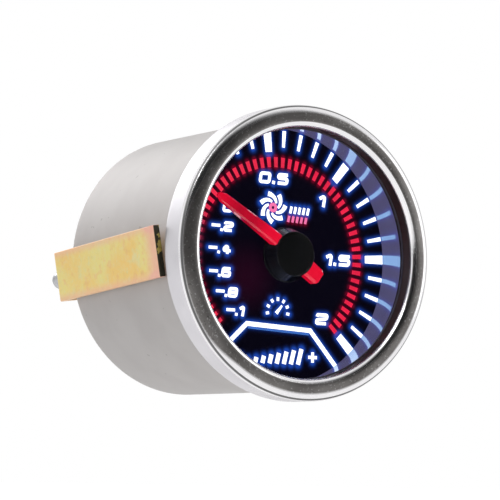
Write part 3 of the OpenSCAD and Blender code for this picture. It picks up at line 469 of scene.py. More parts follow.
def softened(corners, radius, closed=False, steps=5):
    """A line whose corners become arcs.

    Each arc's centre lies radius / sin(half the corner's angle) along the corner's bisector.
    """
    corners = np.asarray(corners, float)
    count = len(corners)
    points = []
    for i, corner in enumerate(corners):
        if not closed and i in (0, count - 1):
            points.append([corner])
            continue
        before, after = corners[i - 1] - corner, corners[(i + 1) % count] - corner
        longest = 0.44 * min(np.linalg.norm(before), np.linalg.norm(after))
        u, v = before / np.linalg.norm(before), after / np.linalg.norm(after)
        half = 0.5 * np.arccos(np.clip(u @ v, -0.9999, 0.9999))
        r = min(radius, longest * np.tan(half))
        centre = corner + (u + v) / np.linalg.norm(u + v) * r / np.sin(half)
        start, end = corner + u * r / np.tan(half) - centre, corner + v * r / np.tan(half) - centre
        a, b = np.arctan2(start[1], start[0]), np.arctan2(end[1], end[0])
        t = a + ((b - a + np.pi) % (2 * np.pi) - np.pi) * np.linspace(0, 1, steps)
        points.append(centre + r * np.stack([np.cos(t), np.sin(t)], -1))
    return np.concatenate(points)


def stroke(line, width, closed=False):
    """A flat band along a line.

    At each point the two sides lie half a width along the mitre of its neighbours.
    """
    line = np.asarray(line, float)
    ahead = np.roll(line, -1, 0) - line
    behind = line - np.roll(line, 1, 0)
    if not closed:
        ahead[-1], behind[0] = behind[-1], ahead[0]
    ahead /= np.linalg.norm(ahead, axis=1)[:, None]
    behind /= np.linalg.norm(behind, axis=1)[:, None]
    mitre = ahead + behind
    mitre /= np.linalg.norm(mitre, axis=1)[:, None]
    half = 0.5 * np.broadcast_to(width, len(line))
    reach = half / np.clip(np.sum(mitre * ahead, 1), 0.35, 1.0)
    side = np.stack([-mitre[:, 1], mitre[:, 0]], -1) * reach[:, None]
    return line, line + side, line - side, closed


def raised(bands, face_depth, height):
    """Closed thin bars from flat bands: a front, a back and walls between a band's two sides."""
    points, faces = [], []
    for line, left, right, closed in bands:
        count, start = len(line), sum(len(p) for p in points)
        loop = [np.insert(p, 1, depth, 1) for p, depth in (
            (left, face_depth - height), (right, face_depth - height),
            (right, face_depth), (left, face_depth))]
        points.append(np.stack(loop, 1).reshape(-1, 3))
        faces += (np.array(quads(count, 4, closed, True)) + start).tolist()
        if not closed:
            faces += [[end + k for k in range(4)] for end in (start, start + 4 * (count - 1))]
    return np.concatenate(points), faces


# Number shapes: lines in a box one high and one wide; True closes a line.
figures = {
    "0": [([(0, 0), (1, 0), (1, 1), (0, 1)], True)],
    "1": [([(0, 0.76), (0.50, 1.14), (0.50, -0.20)], False)],
    "2": [([(0, 0.78), (0, 1), (1, 1), (1, 0.56), (0, 0.42), (0, 0), (1, 0)], False)],
    "4": [([(1.22, 0.26), (0, 0.26), (0.76, 1.12), (0.82, -0.16)], False)],
    "5": [([(1, 1), (0, 1), (0, 0.56), (1, 0.56), (1, 0), (0, 0)], False)],
    "6": [([(1, 1), (0, 1), (0, 0), (1, 0), (1, 0.56), (0, 0.56)], False)],
    "8": [([(0, 0), (1, 0), (1, 1), (0, 1)], True), ([(0, 0.52), (1, 0.52)], False)],
}
slant, corner_r, dot_ends, dot_lead, dot_gap = 0.16, 0.22, (-0.17, 0.20), 0.10, 0.14
minus_long, minus_high = 1.35, 0.58


def number(text, left, middle, height, weight, wide, gap):
    """Bands of a slanted number from its left end.

    The height is that of its lines' middles, and wide and gap are shares of it. A point moves
    right by slant times its height over the middle.
    """
    bands, place = [], 0.0
    for mark in text:
        if mark == ".":
            lead = 0.0 if text[0] == "-" else dot_lead
            shapes, span = [([(lead, high) for high in dot_ends], False)], 0.0
        elif mark == "-":
            shapes, span = [([(0, minus_high), (minus_long, minus_high)], False)], minus_long
        else:
            shapes, span = figures[mark], 0.5 * wide if mark == "1" else wide
        for corners, closed in shapes:
            line = np.array(corners, float) * (1 if mark in ".-" else wide, 1)
            if len(line) > 2:
                line = softened(line, corner_r, closed)
            up = line[:, 1] - 0.5
            line = np.stack([line[:, 0] + place + slant * up, up], -1)
            bands.append(stroke(line * height + (left, middle), weight, closed))
        place += span + gap + (dot_gap if mark == "." else 0.0)
    return bands


print_at = (0.05, -0.3)
edge_of_print, long_from, short_from = 24.6, 20.4, 21.4
long_widths, short_widths = [1.45, 1.75], [0.62, 0.80]
pressures = np.arange(3, 21) / 10.0
angles = np.interp(pressures, [0.0, 0.5, 1.0, 1.5, 2.0], [-54.5, -6.9, 39.2, 87.4, 135.0])
white_bands, red_bands, pink_bands = [], [], []
for pressure, angle in zip(pressures, angles):
    numbered = abs(pressure * 2 - round(pressure * 2)) < 0.01
    ends = [clock(long_from if numbered else short_from, angle), clock(edge_of_print, angle)]
    white_bands.append(stroke(ends, long_widths if numbered else short_widths))

# The large numbers stand inside the right half of the arc, the small ones inside its left half.
large_height, large_weight, large_gap, large_wide, first_wide = 1.66, 0.64, 0.54, 1.36, 1.22
small_height, small_weight, small_gap, small_wide = 1.42, 0.56, 0.30, 1.14
for text, left, middle in (
        ("0.5", -4.15, 14.95), ("1", 9.45, 11.4), ("1.5", 11.25, 0.08), ("2", 9.35, -11.6)):
    wide = first_wide if text == "0.5" else large_wide
    white_bands += number(text, left, middle, large_height, large_weight, wide, large_gap)
for text, left, middle in (
        ("0", -12.2, 8.6), ("-.2", -14.9, 4.9), ("-.4", -15.45, 0.64), ("-.6", -15.2, -3.78),
        ("-.8", -13.65, -7.52), ("-.1", -11.25, -10.95)):
    white_bands += number(text, left, middle, small_height, small_weight, small_wide, small_gap)

# The scale's foot is a white outline. Under its level part glows a thin blue band, a painted
# reflection of the outline.
foot_line = np.array([(-13.4, -19.6), (-6.61, -13.25), (7.83, -13.95), (14.4, -21.2)])
foot_weight, reflection_drop, reflection_inset, reflection_weight = 0.88, 0.72, 0.25, 0.42
white_bands.append(stroke(foot_line, foot_weight))
# A painted reflection of the outline, a blue band just under it.
reflection_line = foot_line[1:3] + [(reflection_inset, -reflection_drop), (-reflection_inset, -reflection_drop)]
reflection_bands = [stroke(reflection_line, reflection_weight)]

# Under the foot stands a row of rising bars between a minus and a plus.
foot, first_bar, bar_step, bar_lean, bar_weight, sign_weight = -20.6, -6.2, 1.62, 0.25, 0.92, 0.62
for k, height in enumerate(np.linspace(0.7, 3.0, 8)):
    base = first_bar + bar_step * k
    top = (base + bar_lean * height, foot + height)
    white_bands.append(stroke([(base, foot), top], bar_weight))
for start, end in (((-9.4, 1.3), (-7.7, 1.3)), ((7.5, 1.5), (9.5, 1.5)), ((8.5, 0.5), (8.5, 2.5))):
    sign = [(start[0], foot + start[1]), (end[0], foot + end[1])]
    white_bands.append(stroke(sign, sign_weight))

# Between foot and hub stands a small sign: an arc of dots round a needle.
sign_at, dot_from, dot_to, dot_weight = np.array([0.3, -10.6]), 2.0, 2.7, 0.55
for a in np.linspace(-100, 100, 7):
    out = np.array([np.sin(np.radians(a)), np.cos(np.radians(a))])
    white_bands.append(stroke([sign_at + dot_from * out, sign_at + dot_to * out], dot_weight))
needle_turn, needle_tail, needle_tip, needle_widths = 0.7, 0.5, 1.5, [0.75, 0.35]
needle = np.array([np.sin(needle_turn), np.cos(needle_turn)])
needle_ends = [sign_at - needle_tail * needle, sign_at + needle_tip * needle]
white_bands.append(stroke(needle_ends, needle_widths))

# Above the hub stands a blower wheel with curved vanes, and two rows of slanted flow marks
# beside it. A vane runs outwards by its length times t and round by its sweep times t.
wheel_at, vane_count, vane_root, vane_long, vane_sweep = np.array([-1.2, 9.3]), 7, 1.1, 1.75, 1.1
vane_widths, eye_r, eye_weight = (0.45, 0.95), 0.62, 0.62
t = np.linspace(0, 1, 8)
for k in range(vane_count):
    a = 2 * np.pi * k / vane_count + vane_sweep * t
    vane = (vane_root + vane_long * t)[:, None] * np.stack([np.cos(a), np.sin(a)], -1)
    white_bands.append(stroke(wheel_at + vane, np.linspace(*vane_widths, 8)))
a = np.linspace(0, 2 * np.pi, 25)[:-1]
wheel_eye = wheel_at + eye_r * np.stack([np.cos(a), np.sin(a)], -1)
pink_bands.append(stroke(wheel_eye, eye_weight, True))
flow_at, flow_step, flow_weight = (2.75, 8.45), (0.98, -0.03), 0.56
flow_up, flow_low, flow_high = (0.3, 1.35), (-0.45, -1.7), (-0.2, -0.5)
for k in range(5):
    base = np.array(flow_at) + np.array(flow_step) * k
    white_bands.append(stroke([base, base + flow_up], flow_weight))
    pink_bands.append(stroke([base + flow_low, base + flow_high], flow_weight))
arc_inner, arc_outer, arc_widths, arc_count = 17.45, 19.4, [0.74, 0.86], 56
for angle in np.linspace(-135, 135, arc_count):
    red_bands.append(stroke([clock(arc_inner, angle), clock(arc_outer, angle)], arc_widths))

haze_edge_x, haze_edge_z, hazed_blue = (-0.0180, -0.0150), (0.00003, 0.00013), (0.020, 0.030, 0.070)


def lamp_finish(name, colour, strength, variation, hazed_left=False):
    """An evenly lit window, a little brighter in places. At the dial's left edge it may be painted
    a dim blue, as a painted haze of light over the window.
    """
    lit = Finish(name)
    patch = lit.noise(350.0, 2.0)
    glow = lit.mix(patch.ramp(0.3, 0.7), tuple(c * variation for c in colour), colour)
    if hazed_left:
        # Near the dial's left edge the glow gives way to a painted dim blue haze.
        x, z = lit.across("XZ")
        edge = (1.0 - x.ramp(*haze_edge_x)) * (1.0 - z.squared().ramp(*haze_edge_z))
        glow = lit.mix(0.85 * edge, glow, hazed_blue)
    return lit.surface({
        "Base Color": tuple(0.5 * c for c in colour), "Roughness": 0.35,
        "Emission Color": glow, "Emission Strength": strength})


window_height = 0.03
for name, bands, look in (
        ("scale_white", white_bands,
         lamp_finish("white_window", (0.92, 0.96, 1.0), 1.5, 0.9)),
        # The foot's painted reflection glows blue like a window.
        ("scale_painted_reflection", reflection_bands,
         lamp_finish("blue_painted_reflection", (0.030, 0.130, 0.480), 1.0, 0.8)),
        ("scale_red", red_bands,
         lamp_finish("red_window", (0.80, 0.012, 0.055), 1.0, 0.75, True)),
        ("scale_pink", pink_bands,
         lamp_finish("pink_window", (0.90, 0.16, 0.38), 1.0, 0.85))):
    fitted(skin(name, *raised(bands, dial_front, window_height)), look, "case", "dial_print")

hole_r, dial_edge, dial_back, dial_rings, dial_steps = 1.5, 0.5, dial_front + 1.0, 128, 640
dial = skin("dial", *turned(np.concatenate([
    [[insert_r, dial_back], [insert_r, dial_front]],
    np.linspace((insert_r - dial_edge, dial_front), (hole_r, dial_front), dial_rings),
    [[hole_r, dial_back]]]), dial_steps), 40)
spots = np.empty(len(dial.data.vertices) * 3, np.float32)
dial.data.vertices.foreach_get("co", spots)
spots = spots.reshape(-1, 3)[:, (0, 2)] / mm
far_away = 9.0


def haze_near(bands, reach):
    """How strongly windows light the print: exp(-(distance to the nearest band / reach))."""
    nearest = np.full(len(spots), far_away)
    for line, left, right, closed in bands:
        ends = np.roll(line, -1, 0) if closed else line[1:]
        half = 0.5 * np.linalg.norm(left - right, axis=1)
        for a, b, w in zip(line, ends, half):
            run = b - a
            share = np.clip((spots - a) @ run / (run @ run), 0, 1)
            away = np.linalg.norm(spots - a - share[:, None] * run, axis=1) - w
            nearest = np.minimum(nearest, away)
    return np.exp(-np.clip(nearest, 0, None) / reach)


for name, bands, reach in (
        ("white_haze", white_bands, 0.50), ("red_haze", red_bands + pink_bands, 0.30)):
    layer = dial.data.attributes.new(name, "FLOAT", "POINT")
    layer.data.foreach_set("value", haze_near(bands, reach).astype(np.float32))
ink_dark, ink_light = (0.0015, 0.0012, 0.0030), (0.0040, 0.0036, 0.0060)
unlit, blue_haze, red_haze = (0.0016, 0.0012, 0.0045), (0.011, 0.058, 0.38), (0.13, 0.001, 0.012)
painted_red_glow, painted_edge_glow = (0.014, 0.0003, 0.004), (0.008, 0.036, 0.080)
red_glow_x, red_glow_z, red_glow_r = -0.0068, -0.0045, 0.0085
edge_x, edge_z, edge_middle = (-0.0195, -0.0162), (0.00001, 0.00008), -0.0015
ink = Finish("lit_print")
blue, red = [ink.node("ShaderNodeAttribute", {"attribute_name": name}, out="Fac")
             for name in ("white_haze", "red_haze")]
x, z = ink.across("XZ")
# A painted red glow on the print, centred left of and below the hub.
from_red_glow = ((x - red_glow_x).squared() + (z - red_glow_z).squared()) ** 0.5
painted_red_glow_share = 1.0 - from_red_glow.ramp(0.0, red_glow_r)
# A painted blue glow along the print's left edge.
painted_edge_share = (1.0 - x.ramp(*edge_x)) * (1.0 - (z - edge_middle).squared().ramp(*edge_z))
colour = ink.mix(blue.ramp(0.05, 1.0), unlit, blue_haze)
for share, glow in ((red ** 1.6, red_haze), (painted_red_glow_share, painted_red_glow), (painted_edge_share, painted_edge_glow)):
    colour = ink.mix(1.0, colour, ink.mix(share, black, glow), "ADD")
ink_grain = ink.noise(3000.0, 2.0)
fitted(dial, ink.surface({
    "Base Color": ink.mix(ink_grain, ink_dark, ink_light), "Roughness": 0.55 + 0.2 * ink_grain,
    "Emission Color": colour, "Emission Strength": 1.0, "Specular IOR Level": 0.0}),
    "case", "dial_print", "dial_plate")

# The pointer is a clear red moulding lit from its root. Its back slopes down from the hub to the
# print, and its broad tail sticks out of the hub's other side.
pointer_reach, tail_reach, rest_turn = 18.6, 7.4, math.radians(90 + 55)
root_top, root_floor, slope_start, top_drop, floor_drop = -0.95, 1.05, 5.35, 2.96, 1.78
tail_step, tail_shrink, tail_end, tip_start, tip_end = 0.06, 0.94, -3.0, 17.4, 0.05
blade_at = [-tail_reach, -tail_reach + 0.25, tail_end, 0.0, pointer_reach - 1.2, pointer_reach]
blade_half = [1.25, 1.62, 1.7, 1.35, 0.95, 0.35]


def blade_section(u):
    """Half width, top and floor of the blade, in straight runs of the distance u from the axis."""
    half = np.interp(u, blade_at, blade_half)
    top = np.interp(u, [slope_start, pointer_reach], [root_top, root_top + top_drop])
    under = np.interp(u, [slope_start, pointer_reach], [root_floor, root_floor + floor_drop])
    return half, top, under


def loft(sections):
    """A skin over rows of points; the first and last row close on their own middle."""
    rows, count = len(sections), len(sections[0])
    points = np.concatenate([*sections, [sections[0].mean(0)], [sections[-1].mean(0)]])
    faces = quads(rows, count, False, True)
    ring = np.arange(count)
    for base, middle in ((0, rows * count), ((rows - 1) * count, rows * count + 1)):
        fan = [base + ring, base + (ring + 1) % count, np.full(count, middle)]
        faces += np.stack(fan, -1).tolist()
    return points, faces


u = np.concatenate([
    [-tail_reach], np.linspace(-tail_reach + tail_step, tail_end, 12),
    np.linspace(tail_end + 1.0, tip_start - 0.1, 40),
    np.linspace(tip_start, pointer_reach - tip_end, 8), [pointer_reach]])
half, top, under = blade_section(u)
rim = np.array([(-1, 0.22), (-0.72, 0), (0.72, 0), (1, 0.22), (1, 0.5), (1, 0.9), (0.9, 1),
                (-0.9, 1), (-1, 0.9), (-1, 0.5)])
blade_rows = np.stack([
    np.outer(u, np.ones(len(rim))), top[:, None] + np.outer(under - top, rim[:, 1]),
    np.outer(half, rim[:, 0])], -1)
blade_rows[0] = blade_rows[1] + (-tail_step, 0, 0)
tail_middle = blade_rows[0, :, 1:].mean(0)
blade_rows[0, :, 1:] = tail_middle + tail_shrink * (blade_rows[0, :, 1:] - tail_middle)
c, s = math.cos(rest_turn), math.sin(rest_turn)
blade_rows = np.stack([
    c * blade_rows[..., 0] - s * blade_rows[..., 2], blade_rows[..., 1],
    s * blade_rows[..., 0] + c * blade_rows[..., 2]], -1)
blade = skin("pointer_blade_red", *loft(blade_rows), crease=24)
blade_x, blade_z, least_lit = -0.819, 0.574, 0.30
root_lit, tip_lit = (0.0065, 0.0105), (0.0140, 0.0180)
red_dark, red_light = (0.50, 0.002, 0.014), (0.62, 0.006, 0.030)
glow_dark, glow_light = (0.16, 0.0004, 0.010), (0.66, 0.002, 0.024)
ruby = Finish("clear_red")
x, z = ruby.across("XZ")
along = blade_x * x + blade_z * z
ruby_cloud = ruby.noise(420.0, 2.0)
lit_ends = (1.0 - along.ramp(*root_lit)) + along.ramp(*tip_lit)
lit = (least_lit + (1.0 - least_lit) * lit_ends).up_to_one()
fitted(blade, ruby.surface({
    "Base Color": ruby.mix(ruby_cloud, red_dark, red_light),
    "Roughness": 0.10 + 0.08 * ruby_cloud, "Coat Weight": 0.8,
    "Emission Color": ruby.mix(lit, glow_dark, glow_light), "Emission Strength": 0.85}),
    "pointer", "blade_red", "pointer_blade")

# The hub cap is a black moulding pressed over the pointer. It widens towards the dial and ends
# in a small rounded bead.
cap_front, cap_base, cap_front_r, cap_base_r, cap_edge = -1.35, 2.15, 4.3, 5.3, 0.28
bead_w, bead_h, bead_in, flat_from, flat_to = 0.18, 0.2, 0.17, 1.0, 3.6
wall_front, wall_back, wall_out = -0.8, 1.72, 0.05
jet_dark, jet_light = (0.0010, 0.0012, 0.0018), (0.0024, 0.0028, 0.0036)
cap_outline = np.concatenate([
    [[0.0, cap_base], [0.0, cap_front]],
    np.linspace((flat_from, cap_front), (flat_to, cap_front), 4),
    quarter((cap_front_r - cap_edge, cap_front + cap_edge), cap_edge, cap_edge, -90, -6, 8),
    np.linspace((cap_front_r + wall_out, wall_front), (cap_base_r - bead_in, wall_back), 5),
    quarter((cap_base_r - bead_w, cap_base - bead_h), bead_w, bead_h, -75, 90, 12)])
cap = skin("hub_cap", *turned(cap_outline, 160), crease=50)
jet = Finish("gloss_black")
jet_cloud = jet.noise(700.0, 2.0)
fitted(cap, jet.surface({
    "Base Color": jet.mix(jet_cloud, jet_dark, jet_light),
    "Roughness": 0.20 + 0.06 * jet_cloud, "Specular IOR Level": 0.22,
    "Normal": jet.bump(jet_cloud, 0.03, 0.00003)}), "pointer", "cap_black", "pointer_cap")

# The clamp is a steel strap bent to a U and plated yellow zinc, whose colour drifts from gold to
# pink and green. Its front end faces are painted black as shade, with painted gold glints. It hangs
# on the two studs, a little turned and tipped.
strap_t, strap_w, arm_outer = 1.3, 9.7, 28.6
arm_end, web_back, bend_r, rim_r = 1.36, 42.37, 1.4, 0.14
slot_r, slot_from, slot_to, end_step, end_shrink = 2.8, 40.0, 44.0, 0.12, (0.86, 1.0, 0.975)
mid_depth = web_back - strap_t / 2
turn, tip, lift = math.radians(8.3), math.radians(3.7), 0.45


def hung(mesh_parts):
    """Tips a skin's points about the web's middle, lifts them and turns them about the axis.

    Tip: y' = y cos + z sin, z' = z cos - y sin. Turn: x' = x cos - z sin, z' = x sin + z cos.
    """
    points, faces = mesh_parts
    x, y, z = np.moveaxis(np.asarray(points, float), -1, 0)
    y = y - mid_depth
    y, z = y * math.cos(tip) + z * math.sin(tip), -y * math.sin(tip) + z * math.cos(tip) + lift
    x, z = x * math.cos(turn) - z * math.sin(turn), x * math.sin(turn) + z * math.cos(turn)
    return np.stack([x, y + mid_depth, z], -1), faces


middle, middle_bend, bend_at = arm_outer - strap_t / 2, bend_r - strap_t / 2, web_back - bend_r
arm_run = np.stack([np.full(24, -middle), np.linspace(arm_end, bend_at, 24)], -1)
corner = quarter((-middle + middle_bend, bend_at), middle_bend, middle_bend, 180, 90, 12)[1:-1]
web_x = np.linspace(-middle + middle_bend, middle - middle_bend, 40)
web_run = np.stack([web_x, np.full(40, mid_depth)], -1)
path = np.concatenate([
    arm_run, corner, web_run, (corner * (-1, 1))[::-1], (arm_run * (-1, 1))[::-1]])
heading = np.gradient(path, axis=0)
heading /= np.linalg.norm(heading, axis=1)[:, None]
outward = np.stack([-heading[:, 1], heading[:, 0]], -1)
half_t, half_w = strap_t / 2, strap_w / 2
strap_rim = softened(
    [(-half_t, -half_w), (half_t, -half_w), (half_t, half_w), (-half_t, half_w)], rim_r, True, 5)
strap_rows = np.concatenate([
    path[:, None, :] + strap_rim[None, :, :1] * outward[:, None, :],
    np.broadcast_to(strap_rim[None, :, 1:], (len(path), len(strap_rim), 1))], -1)
for end, inner in ((0, 1), (-1, -2)):
    end_middle = strap_rows[end].mean(0)
    shrunk = end_middle + (strap_rows[end] - end_middle) * end_shrink
    strap_rows[inner] = strap_rows[end] + (0.0, end_step, 0.0)
    strap_rows[end] = shrunk
strap = skin("clamp_strap", *hung(loft(strap_rows)), crease=50)
slot_outline = [[0, slot_from], [slot_r, slot_from], [slot_r, slot_to], [0, slot_to]]
drilled(strap, [
    skin("hole", *hung(turned(slot_outline, 64, (side * stud_ring_r, 0.0)))) for side in (-1, 1)],
    50)
gold_deep, gold_pale = (0.98, 0.68, 0.21), (0.93, 0.79, 0.28)
zinc_green, zinc_orange, zinc_pink = (0.84, 0.80, 0.42), (0.92, 0.56, 0.22), (0.97, 0.54, 0.42)
mottle_pale, mottle_brown = (0.93, 0.84, 0.55), (0.50, 0.36, 0.14)
end_shade_black, end_glint_gold = (0.035, 0.032, 0.018), (0.50, 0.40, 0.10)
edge_pink, end_pink, end_face_depth = (0.0030, 0.0048), (0.0022, 0.0068), (0.00140, 0.00147)
zinc = Finish("yellow_zinc")
x, y, z = zinc.across()
x, z = (math.cos(turn) * x + math.sin(turn) * z,
        math.cos(turn) * z - math.sin(turn) * x - lift * mm)
y = y - mid_depth * mm
along = math.cos(tip) * y - math.sin(tip) * z + mid_depth * mm
beside = (math.sin(tip) * y + math.cos(tip) * z).unsigned()
drift = zinc.noise(75.0, 2.0, 0.5)
patches = zinc.noise(330.0, 3.0, 0.65)
mottle = zinc.noise(950.0, 3.0, 0.65)
pink = beside.ramp(*edge_pink) * 0.6 + (1.0 - along.ramp(*end_pink)) * 0.85
gold = zinc.mix(drift.ramp(0.38, 0.60), gold_deep, gold_pale)
gold = zinc.mix(patches.ramp(0.50, 0.74) * 0.60, gold, zinc_green)
gold = zinc.mix((1.0 - patches.ramp(0.32, 0.47)) * 0.6, gold, zinc_orange)
gold = zinc.mix(pink.up_to_one(), gold, zinc_pink)
gold = zinc.mix(mottle.ramp(0.45, 0.70) * 0.22, gold, mottle_pale)
gold = zinc.mix((1.0 - mottle.ramp(0.30, 0.42)) * 0.10, gold, mottle_brown)
# The front end faces are painted black as shade, with painted gold glints.
cut = zinc.mix(patches.ramp(0.57, 0.63), end_shade_black, end_glint_gold)
gold = zinc.mix(1.0 - along.ramp(*end_face_depth), gold, cut)
fitted(strap, zinc.surface({
    "Base Color": gold, "Metallic": 0.55, "Roughness": 0.34 + 0.18 * mottle,
    "Normal": zinc.bump(mottle + 0.7 * patches, 0.16, 0.00008)}),
    "clamp", "clamp_zinc", "clamp_bracket")

# Each stud is a zinc-plated steel screw whose flat head bears on the inside of the back wall.
# The thread is a helix with a fine pitch, chamfered at its tip.
stud_r, thread_depth, pitch, chamfer = 2.0, 0.36, 0.7, 0.4
stud_front, stud_back, head_r, head_h, head_edge, head_under = 40.1, 58.5, 4.0, 1.6, 0.2, 0.15
stud_steps = 56


def threaded(at):
    """A stud: its head, then a bar with a helical thread.

    The bar's radius is stud_r less thread_depth times a wave of (depth / pitch + angle / full
    turn), and at the tip no more than the chamfer leaves.
    """
    def ring(r, y):
        return np.stack([at[0] + r * np.sin(t), np.full(stud_steps, y), at[1] + r * np.cos(t)], -1)

    rows = np.concatenate([np.arange(stud_front, stud_back, pitch / 8), [stud_back]])
    t = np.arange(stud_steps) * 2 * np.pi / stud_steps
    phase = rows[:, None] / pitch + t[None, :] / (2 * np.pi)
    wave = 1 - np.abs(2 * (phase % 1.0) - 1)
    radius = stud_r - thread_depth * np.clip(1.25 * wave, 0, 1)
    radius = np.minimum(radius, stud_r - chamfer + (stud_back - rows)[:, None])
    depth = rows[:, None] + 0 * radius
    bar = np.stack([at[0] + radius * np.sin(t), depth, at[1] + radius * np.cos(t)], -1)
    head = [ring(r, stud_front + y) for r, y in (
        (head_r - head_edge, -head_h), (head_r, -head_h + head_edge), (head_r, -head_under),
        (head_r - head_under, 0.0), (stud_r, 0.0))]
    return loft(list(np.concatenate([head, bar])))


def joined(parts):
    """Several skins as one: a part's faces count on from the points of the parts before it."""
    starts = np.cumsum([0] + [len(points) for points, _ in parts])
    faces = [[k + start for k in cell]
             for (_, cells), start in zip(parts, starts) for cell in cells]
    return np.concatenate([points for points, _ in parts]), faces


zinc_dark, zinc_light = (0.40, 0.41, 0.43), (0.55, 0.55, 0.56)
bright = Finish("bright_zinc")
bright_cloud = bright.noise(500.0, 3.0)
bright_grain = bright.noise(5000.0, 2.0)
bright_look = bright.surface({
    "Base Color": bright.mix(bright_cloud.ramp(0.3, 0.7), zinc_dark, zinc_light),
    "Metallic": 1.0, "Roughness": 0.26 + 0.16 * bright_cloud,
    "Normal": bright.bump(bright_grain, 0.10, 0.00003)})
studs = [threaded(at) for at in (stud_left, stud_right)]
fitted(skin("studs", *joined(studs), 60), bright_look, "case", "fastener_zinc", "mounting_studs")

# Nuts and washers are pressed steel with the same plating, and each nut's corners are turned off
# at both faces. The strap's pair slide with it, and the port's washer lies on the back wall.
nut_steps, nut_cone, cone_rise, cone_h, bore_edge, ring_edge = 144, 0.49, 1.73, 0.6, 0.3, 0.12
clamp_nut = {"across": 7.0, "bore": 2.03, "front": 44.56, "back": 47.74}
clamp_ring = {"outer": 4.5, "bore": 2.2, "front": 42.76, "back": 43.54}
port_ring = {"outer": 6.6, "bore": 4.05, "front": 40.72, "back": 41.5}


def ring_washer(at, outer, bore, front, back):
    """A flat ring with its four edges broken."""
    e = ring_edge
    return turned([
        [bore, front + e], [bore + e, front], [outer - e, front], [outer, front + e],
        [outer, back - e], [outer - e, back], [bore + e, back], [bore, back - e]], 96, at)


def hex_nut(at, across, bore, front, back):
    """The radius is the smaller of a hexagon and a cone from each face.

    The hexagon is across / (2 cos t), with t folded to a sixth of a turn.
    """
    t = np.arange(nut_steps) * 2 * np.pi / nut_steps
    hexagon = across / 2 / np.cos((t + np.pi / 6) % (np.pi / 3) - np.pi / 6)
    depth = np.concatenate([front + np.linspace(0, cone_h, 9), back - np.linspace(cone_h, 0, 9)])
    cone = nut_cone * across + cone_rise * np.minimum(depth - front, back - depth)
    outside = np.minimum(hexagon[None, :], cone[:, None])
    ends = np.array([[bore + bore_edge, back], [bore, back - bore_edge],
                     [bore, front + bore_edge], [bore + bore_edge, front]])
    radius = np.concatenate([outside, np.repeat(ends[:, :1], nut_steps, 1)])
    depth = np.concatenate([depth, ends[:, 1]])
    points = [at[0] + radius * np.sin(t), np.repeat(depth[:, None], nut_steps, 1),
              at[1] + radius * np.cos(t)]
    return np.stack(points, -1).reshape(-1, 3), quads(len(depth), nut_steps, True, True)


for name, at in (("left", stud_left), ("right", stud_right)):
    fitted(skin("nut_" + name, *hex_nut(at, **clamp_nut), 30), bright_look,
           "clamp", "fastener_zinc", "clamp_nut_" + name)
flat_rings = [ring_washer(at, **clamp_ring) for at in (stud_left, stud_right)]
fitted(skin("flat_washers", *joined(flat_rings)), bright_look,
       "clamp", "fastener_zinc", "clamp_washers")
fitted(skin("port_ring", *ring_washer(port_at, **port_ring)), bright_look,
       "case", "fastener_zinc", "port_washer")

# The spring washers under the nuts are split rings of blued spring steel. The movement's screws,
# arbors and pins are turned from the same dark steel.
def clouded_metal(name, scale, detail, dark, light, rougher):
    """Bare metal whose tint and gloss drift a little."""
    metal_finish = Finish(name)
    drift = metal_finish.noise(scale, detail)
    return metal_finish.surface({
        "Base Color": metal_finish.mix(drift, dark, light), "Metallic": 1.0,
        "Roughness": 0.3 + rougher * drift})


blued_dark, blued_light = (0.20, 0.21, 0.24), (0.34, 0.34, 0.37)
dressed(clouded_metal("blued_steel", 800.0, 2.0, blued_dark, blued_light, 0.15), "movement_steel",
        "clamp_spring_washers", "pillar_screws", "movement_screws", "pointer_arbor",
        "sector_arbor", "link_pin")

# The pressure port is turned from one brass bar: a block inside, a threaded neck for the nut and
# a plain pipe. The tool leaves fine marks round it, and the brass is a little tarnished.
neck_nut = {"across": 12.0, "bore": 4.03, "front": 41.52, "back": 45.5}
brass_bright, brass_dull = (0.72, 0.50, 0.18), (0.60, 0.42, 0.16)
turned_brass = Finish("turned_brass")
tool_marks = turned_brass.noise(900.0, 2.0, 0.5, (0.2, 6.0, 0.2))
tarnish = turned_brass.noise(180.0, 3.0)
brass_look = turned_brass.surface({
    "Base Color": turned_brass.mix(tarnish.ramp(0.35, 0.7), brass_bright, brass_dull),
    "Metallic": 1.0, "Roughness": 0.22 + 0.14 * tarnish,
    "Normal": turned_brass.bump(tool_marks, 0.12, 0.00004)})
dressed(brass_look, "port_brass", "port_stem")
fitted(skin("neck_nut", *hex_nut(port_at, **neck_nut), 30), brass_look,
       "case", "port_brass", "port_nut")

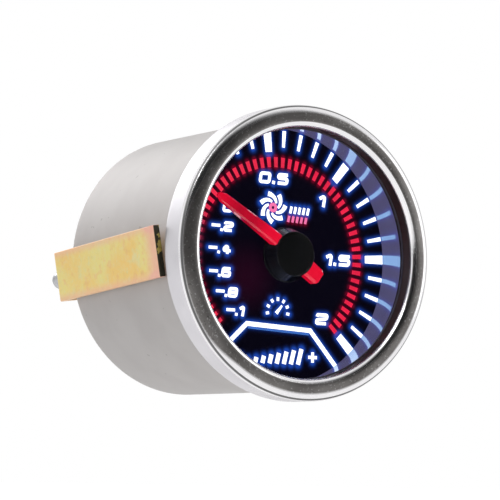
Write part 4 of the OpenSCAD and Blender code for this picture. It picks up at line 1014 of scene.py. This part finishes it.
# The movement's plates, pillars, wheels and link are stamped or turned brass, brushed one way.
# Screws hold the plates to their pillars and to the port block.
stamped_dark, stamped_light = (0.66, 0.48, 0.20), (0.80, 0.62, 0.30)
stamped = Finish("brushed_brass")
brushing = stamped.noise(2400.0, 3.0, 0.6, (1.0, 1.0, 0.06))
dressed(stamped.surface({
    "Base Color": stamped.mix(brushing, stamped_dark, stamped_light),
    "Metallic": 1.0, "Roughness": 0.28 + 0.14 * brushing,
    "Normal": stamped.bump(brushing, 0.08, 0.00003)}), "movement_brass",
    "pinion", "hairspring_collet", "hairspring_post", "front_plate", "rear_plate",
    "plate_pillars", "sector_gear", "link_rod", "tip_block")

# The curved pressure tube is flattened and bent from drawn bronze, and soldered to the port
# block. The hairspring is a coil of the same bronze.
bronze_dark, bronze_light = (0.46, 0.28, 0.11), (0.62, 0.40, 0.17)
dressed(clouded_metal("drawn_bronze", 400.0, 3.0, bronze_dark, bronze_light, 0.12),
        "tube_bronze", "bourdon_tube", "hairspring")

# The light guide behind the dial is cut from clear acrylic. The ring that spaces the lamp board,
# the sleeve behind it and the plug socket are moulded in white plastic.
acrylic_tint = (0.86, 0.92, 0.98)
moulded_dark, moulded_light = (0.72, 0.72, 0.68), (0.80, 0.80, 0.76)
clear = Finish("clear_acrylic")
dressed(clear.surface({
    "Base Color": acrylic_tint, "Roughness": 0.08 + 0.05 * clear.noise(300.0),
    "Transmission Weight": 0.85, "IOR": 1.49}), "guide_acrylic", "light_guide")
moulded = Finish("white_moulding")
moulding = moulded.noise(1200.0, 3.0)
dressed(moulded.surface({
    "Base Color": moulded.mix(moulding, moulded_dark, moulded_light),
    "Roughness": 0.45 + 0.15 * moulding, "Normal": moulded.bump(moulding, 0.08, 0.00004)}),
    "white_plastic", "board_spacer", "board_socket", "inner_liner")

# The lamp board is green laminate. White and red lamp chips and the two tinned contacts of its
# plug socket are soldered to it.
laminate_dark, laminate_light = (0.012, 0.085, 0.030), (0.020, 0.120, 0.045)
tin_dark, tin_light = (0.55, 0.50, 0.36), (0.70, 0.66, 0.50)
board = Finish("green_board")
glass_weave = board.noise(900.0, 2.0)
dressed(board.surface({
    "Base Color": board.mix(glass_weave, laminate_dark, laminate_light),
    "Roughness": 0.35 + 0.1 * glass_weave}), "board_green", "led_board")
for name, slot, colour in (
        ("white_leds", "led_white", (0.9, 0.95, 1.0)), ("red_leds", "led_red", (0.9, 0.04, 0.03))):
    dressed(lamp_finish(name + "_lit", colour, 1.0, 0.8), slot, name)
dressed(clouded_metal("tinned_contact", 900.0, 2.0, tin_dark, tin_light, 0.1),
        "contact_metal", "socket_pins")
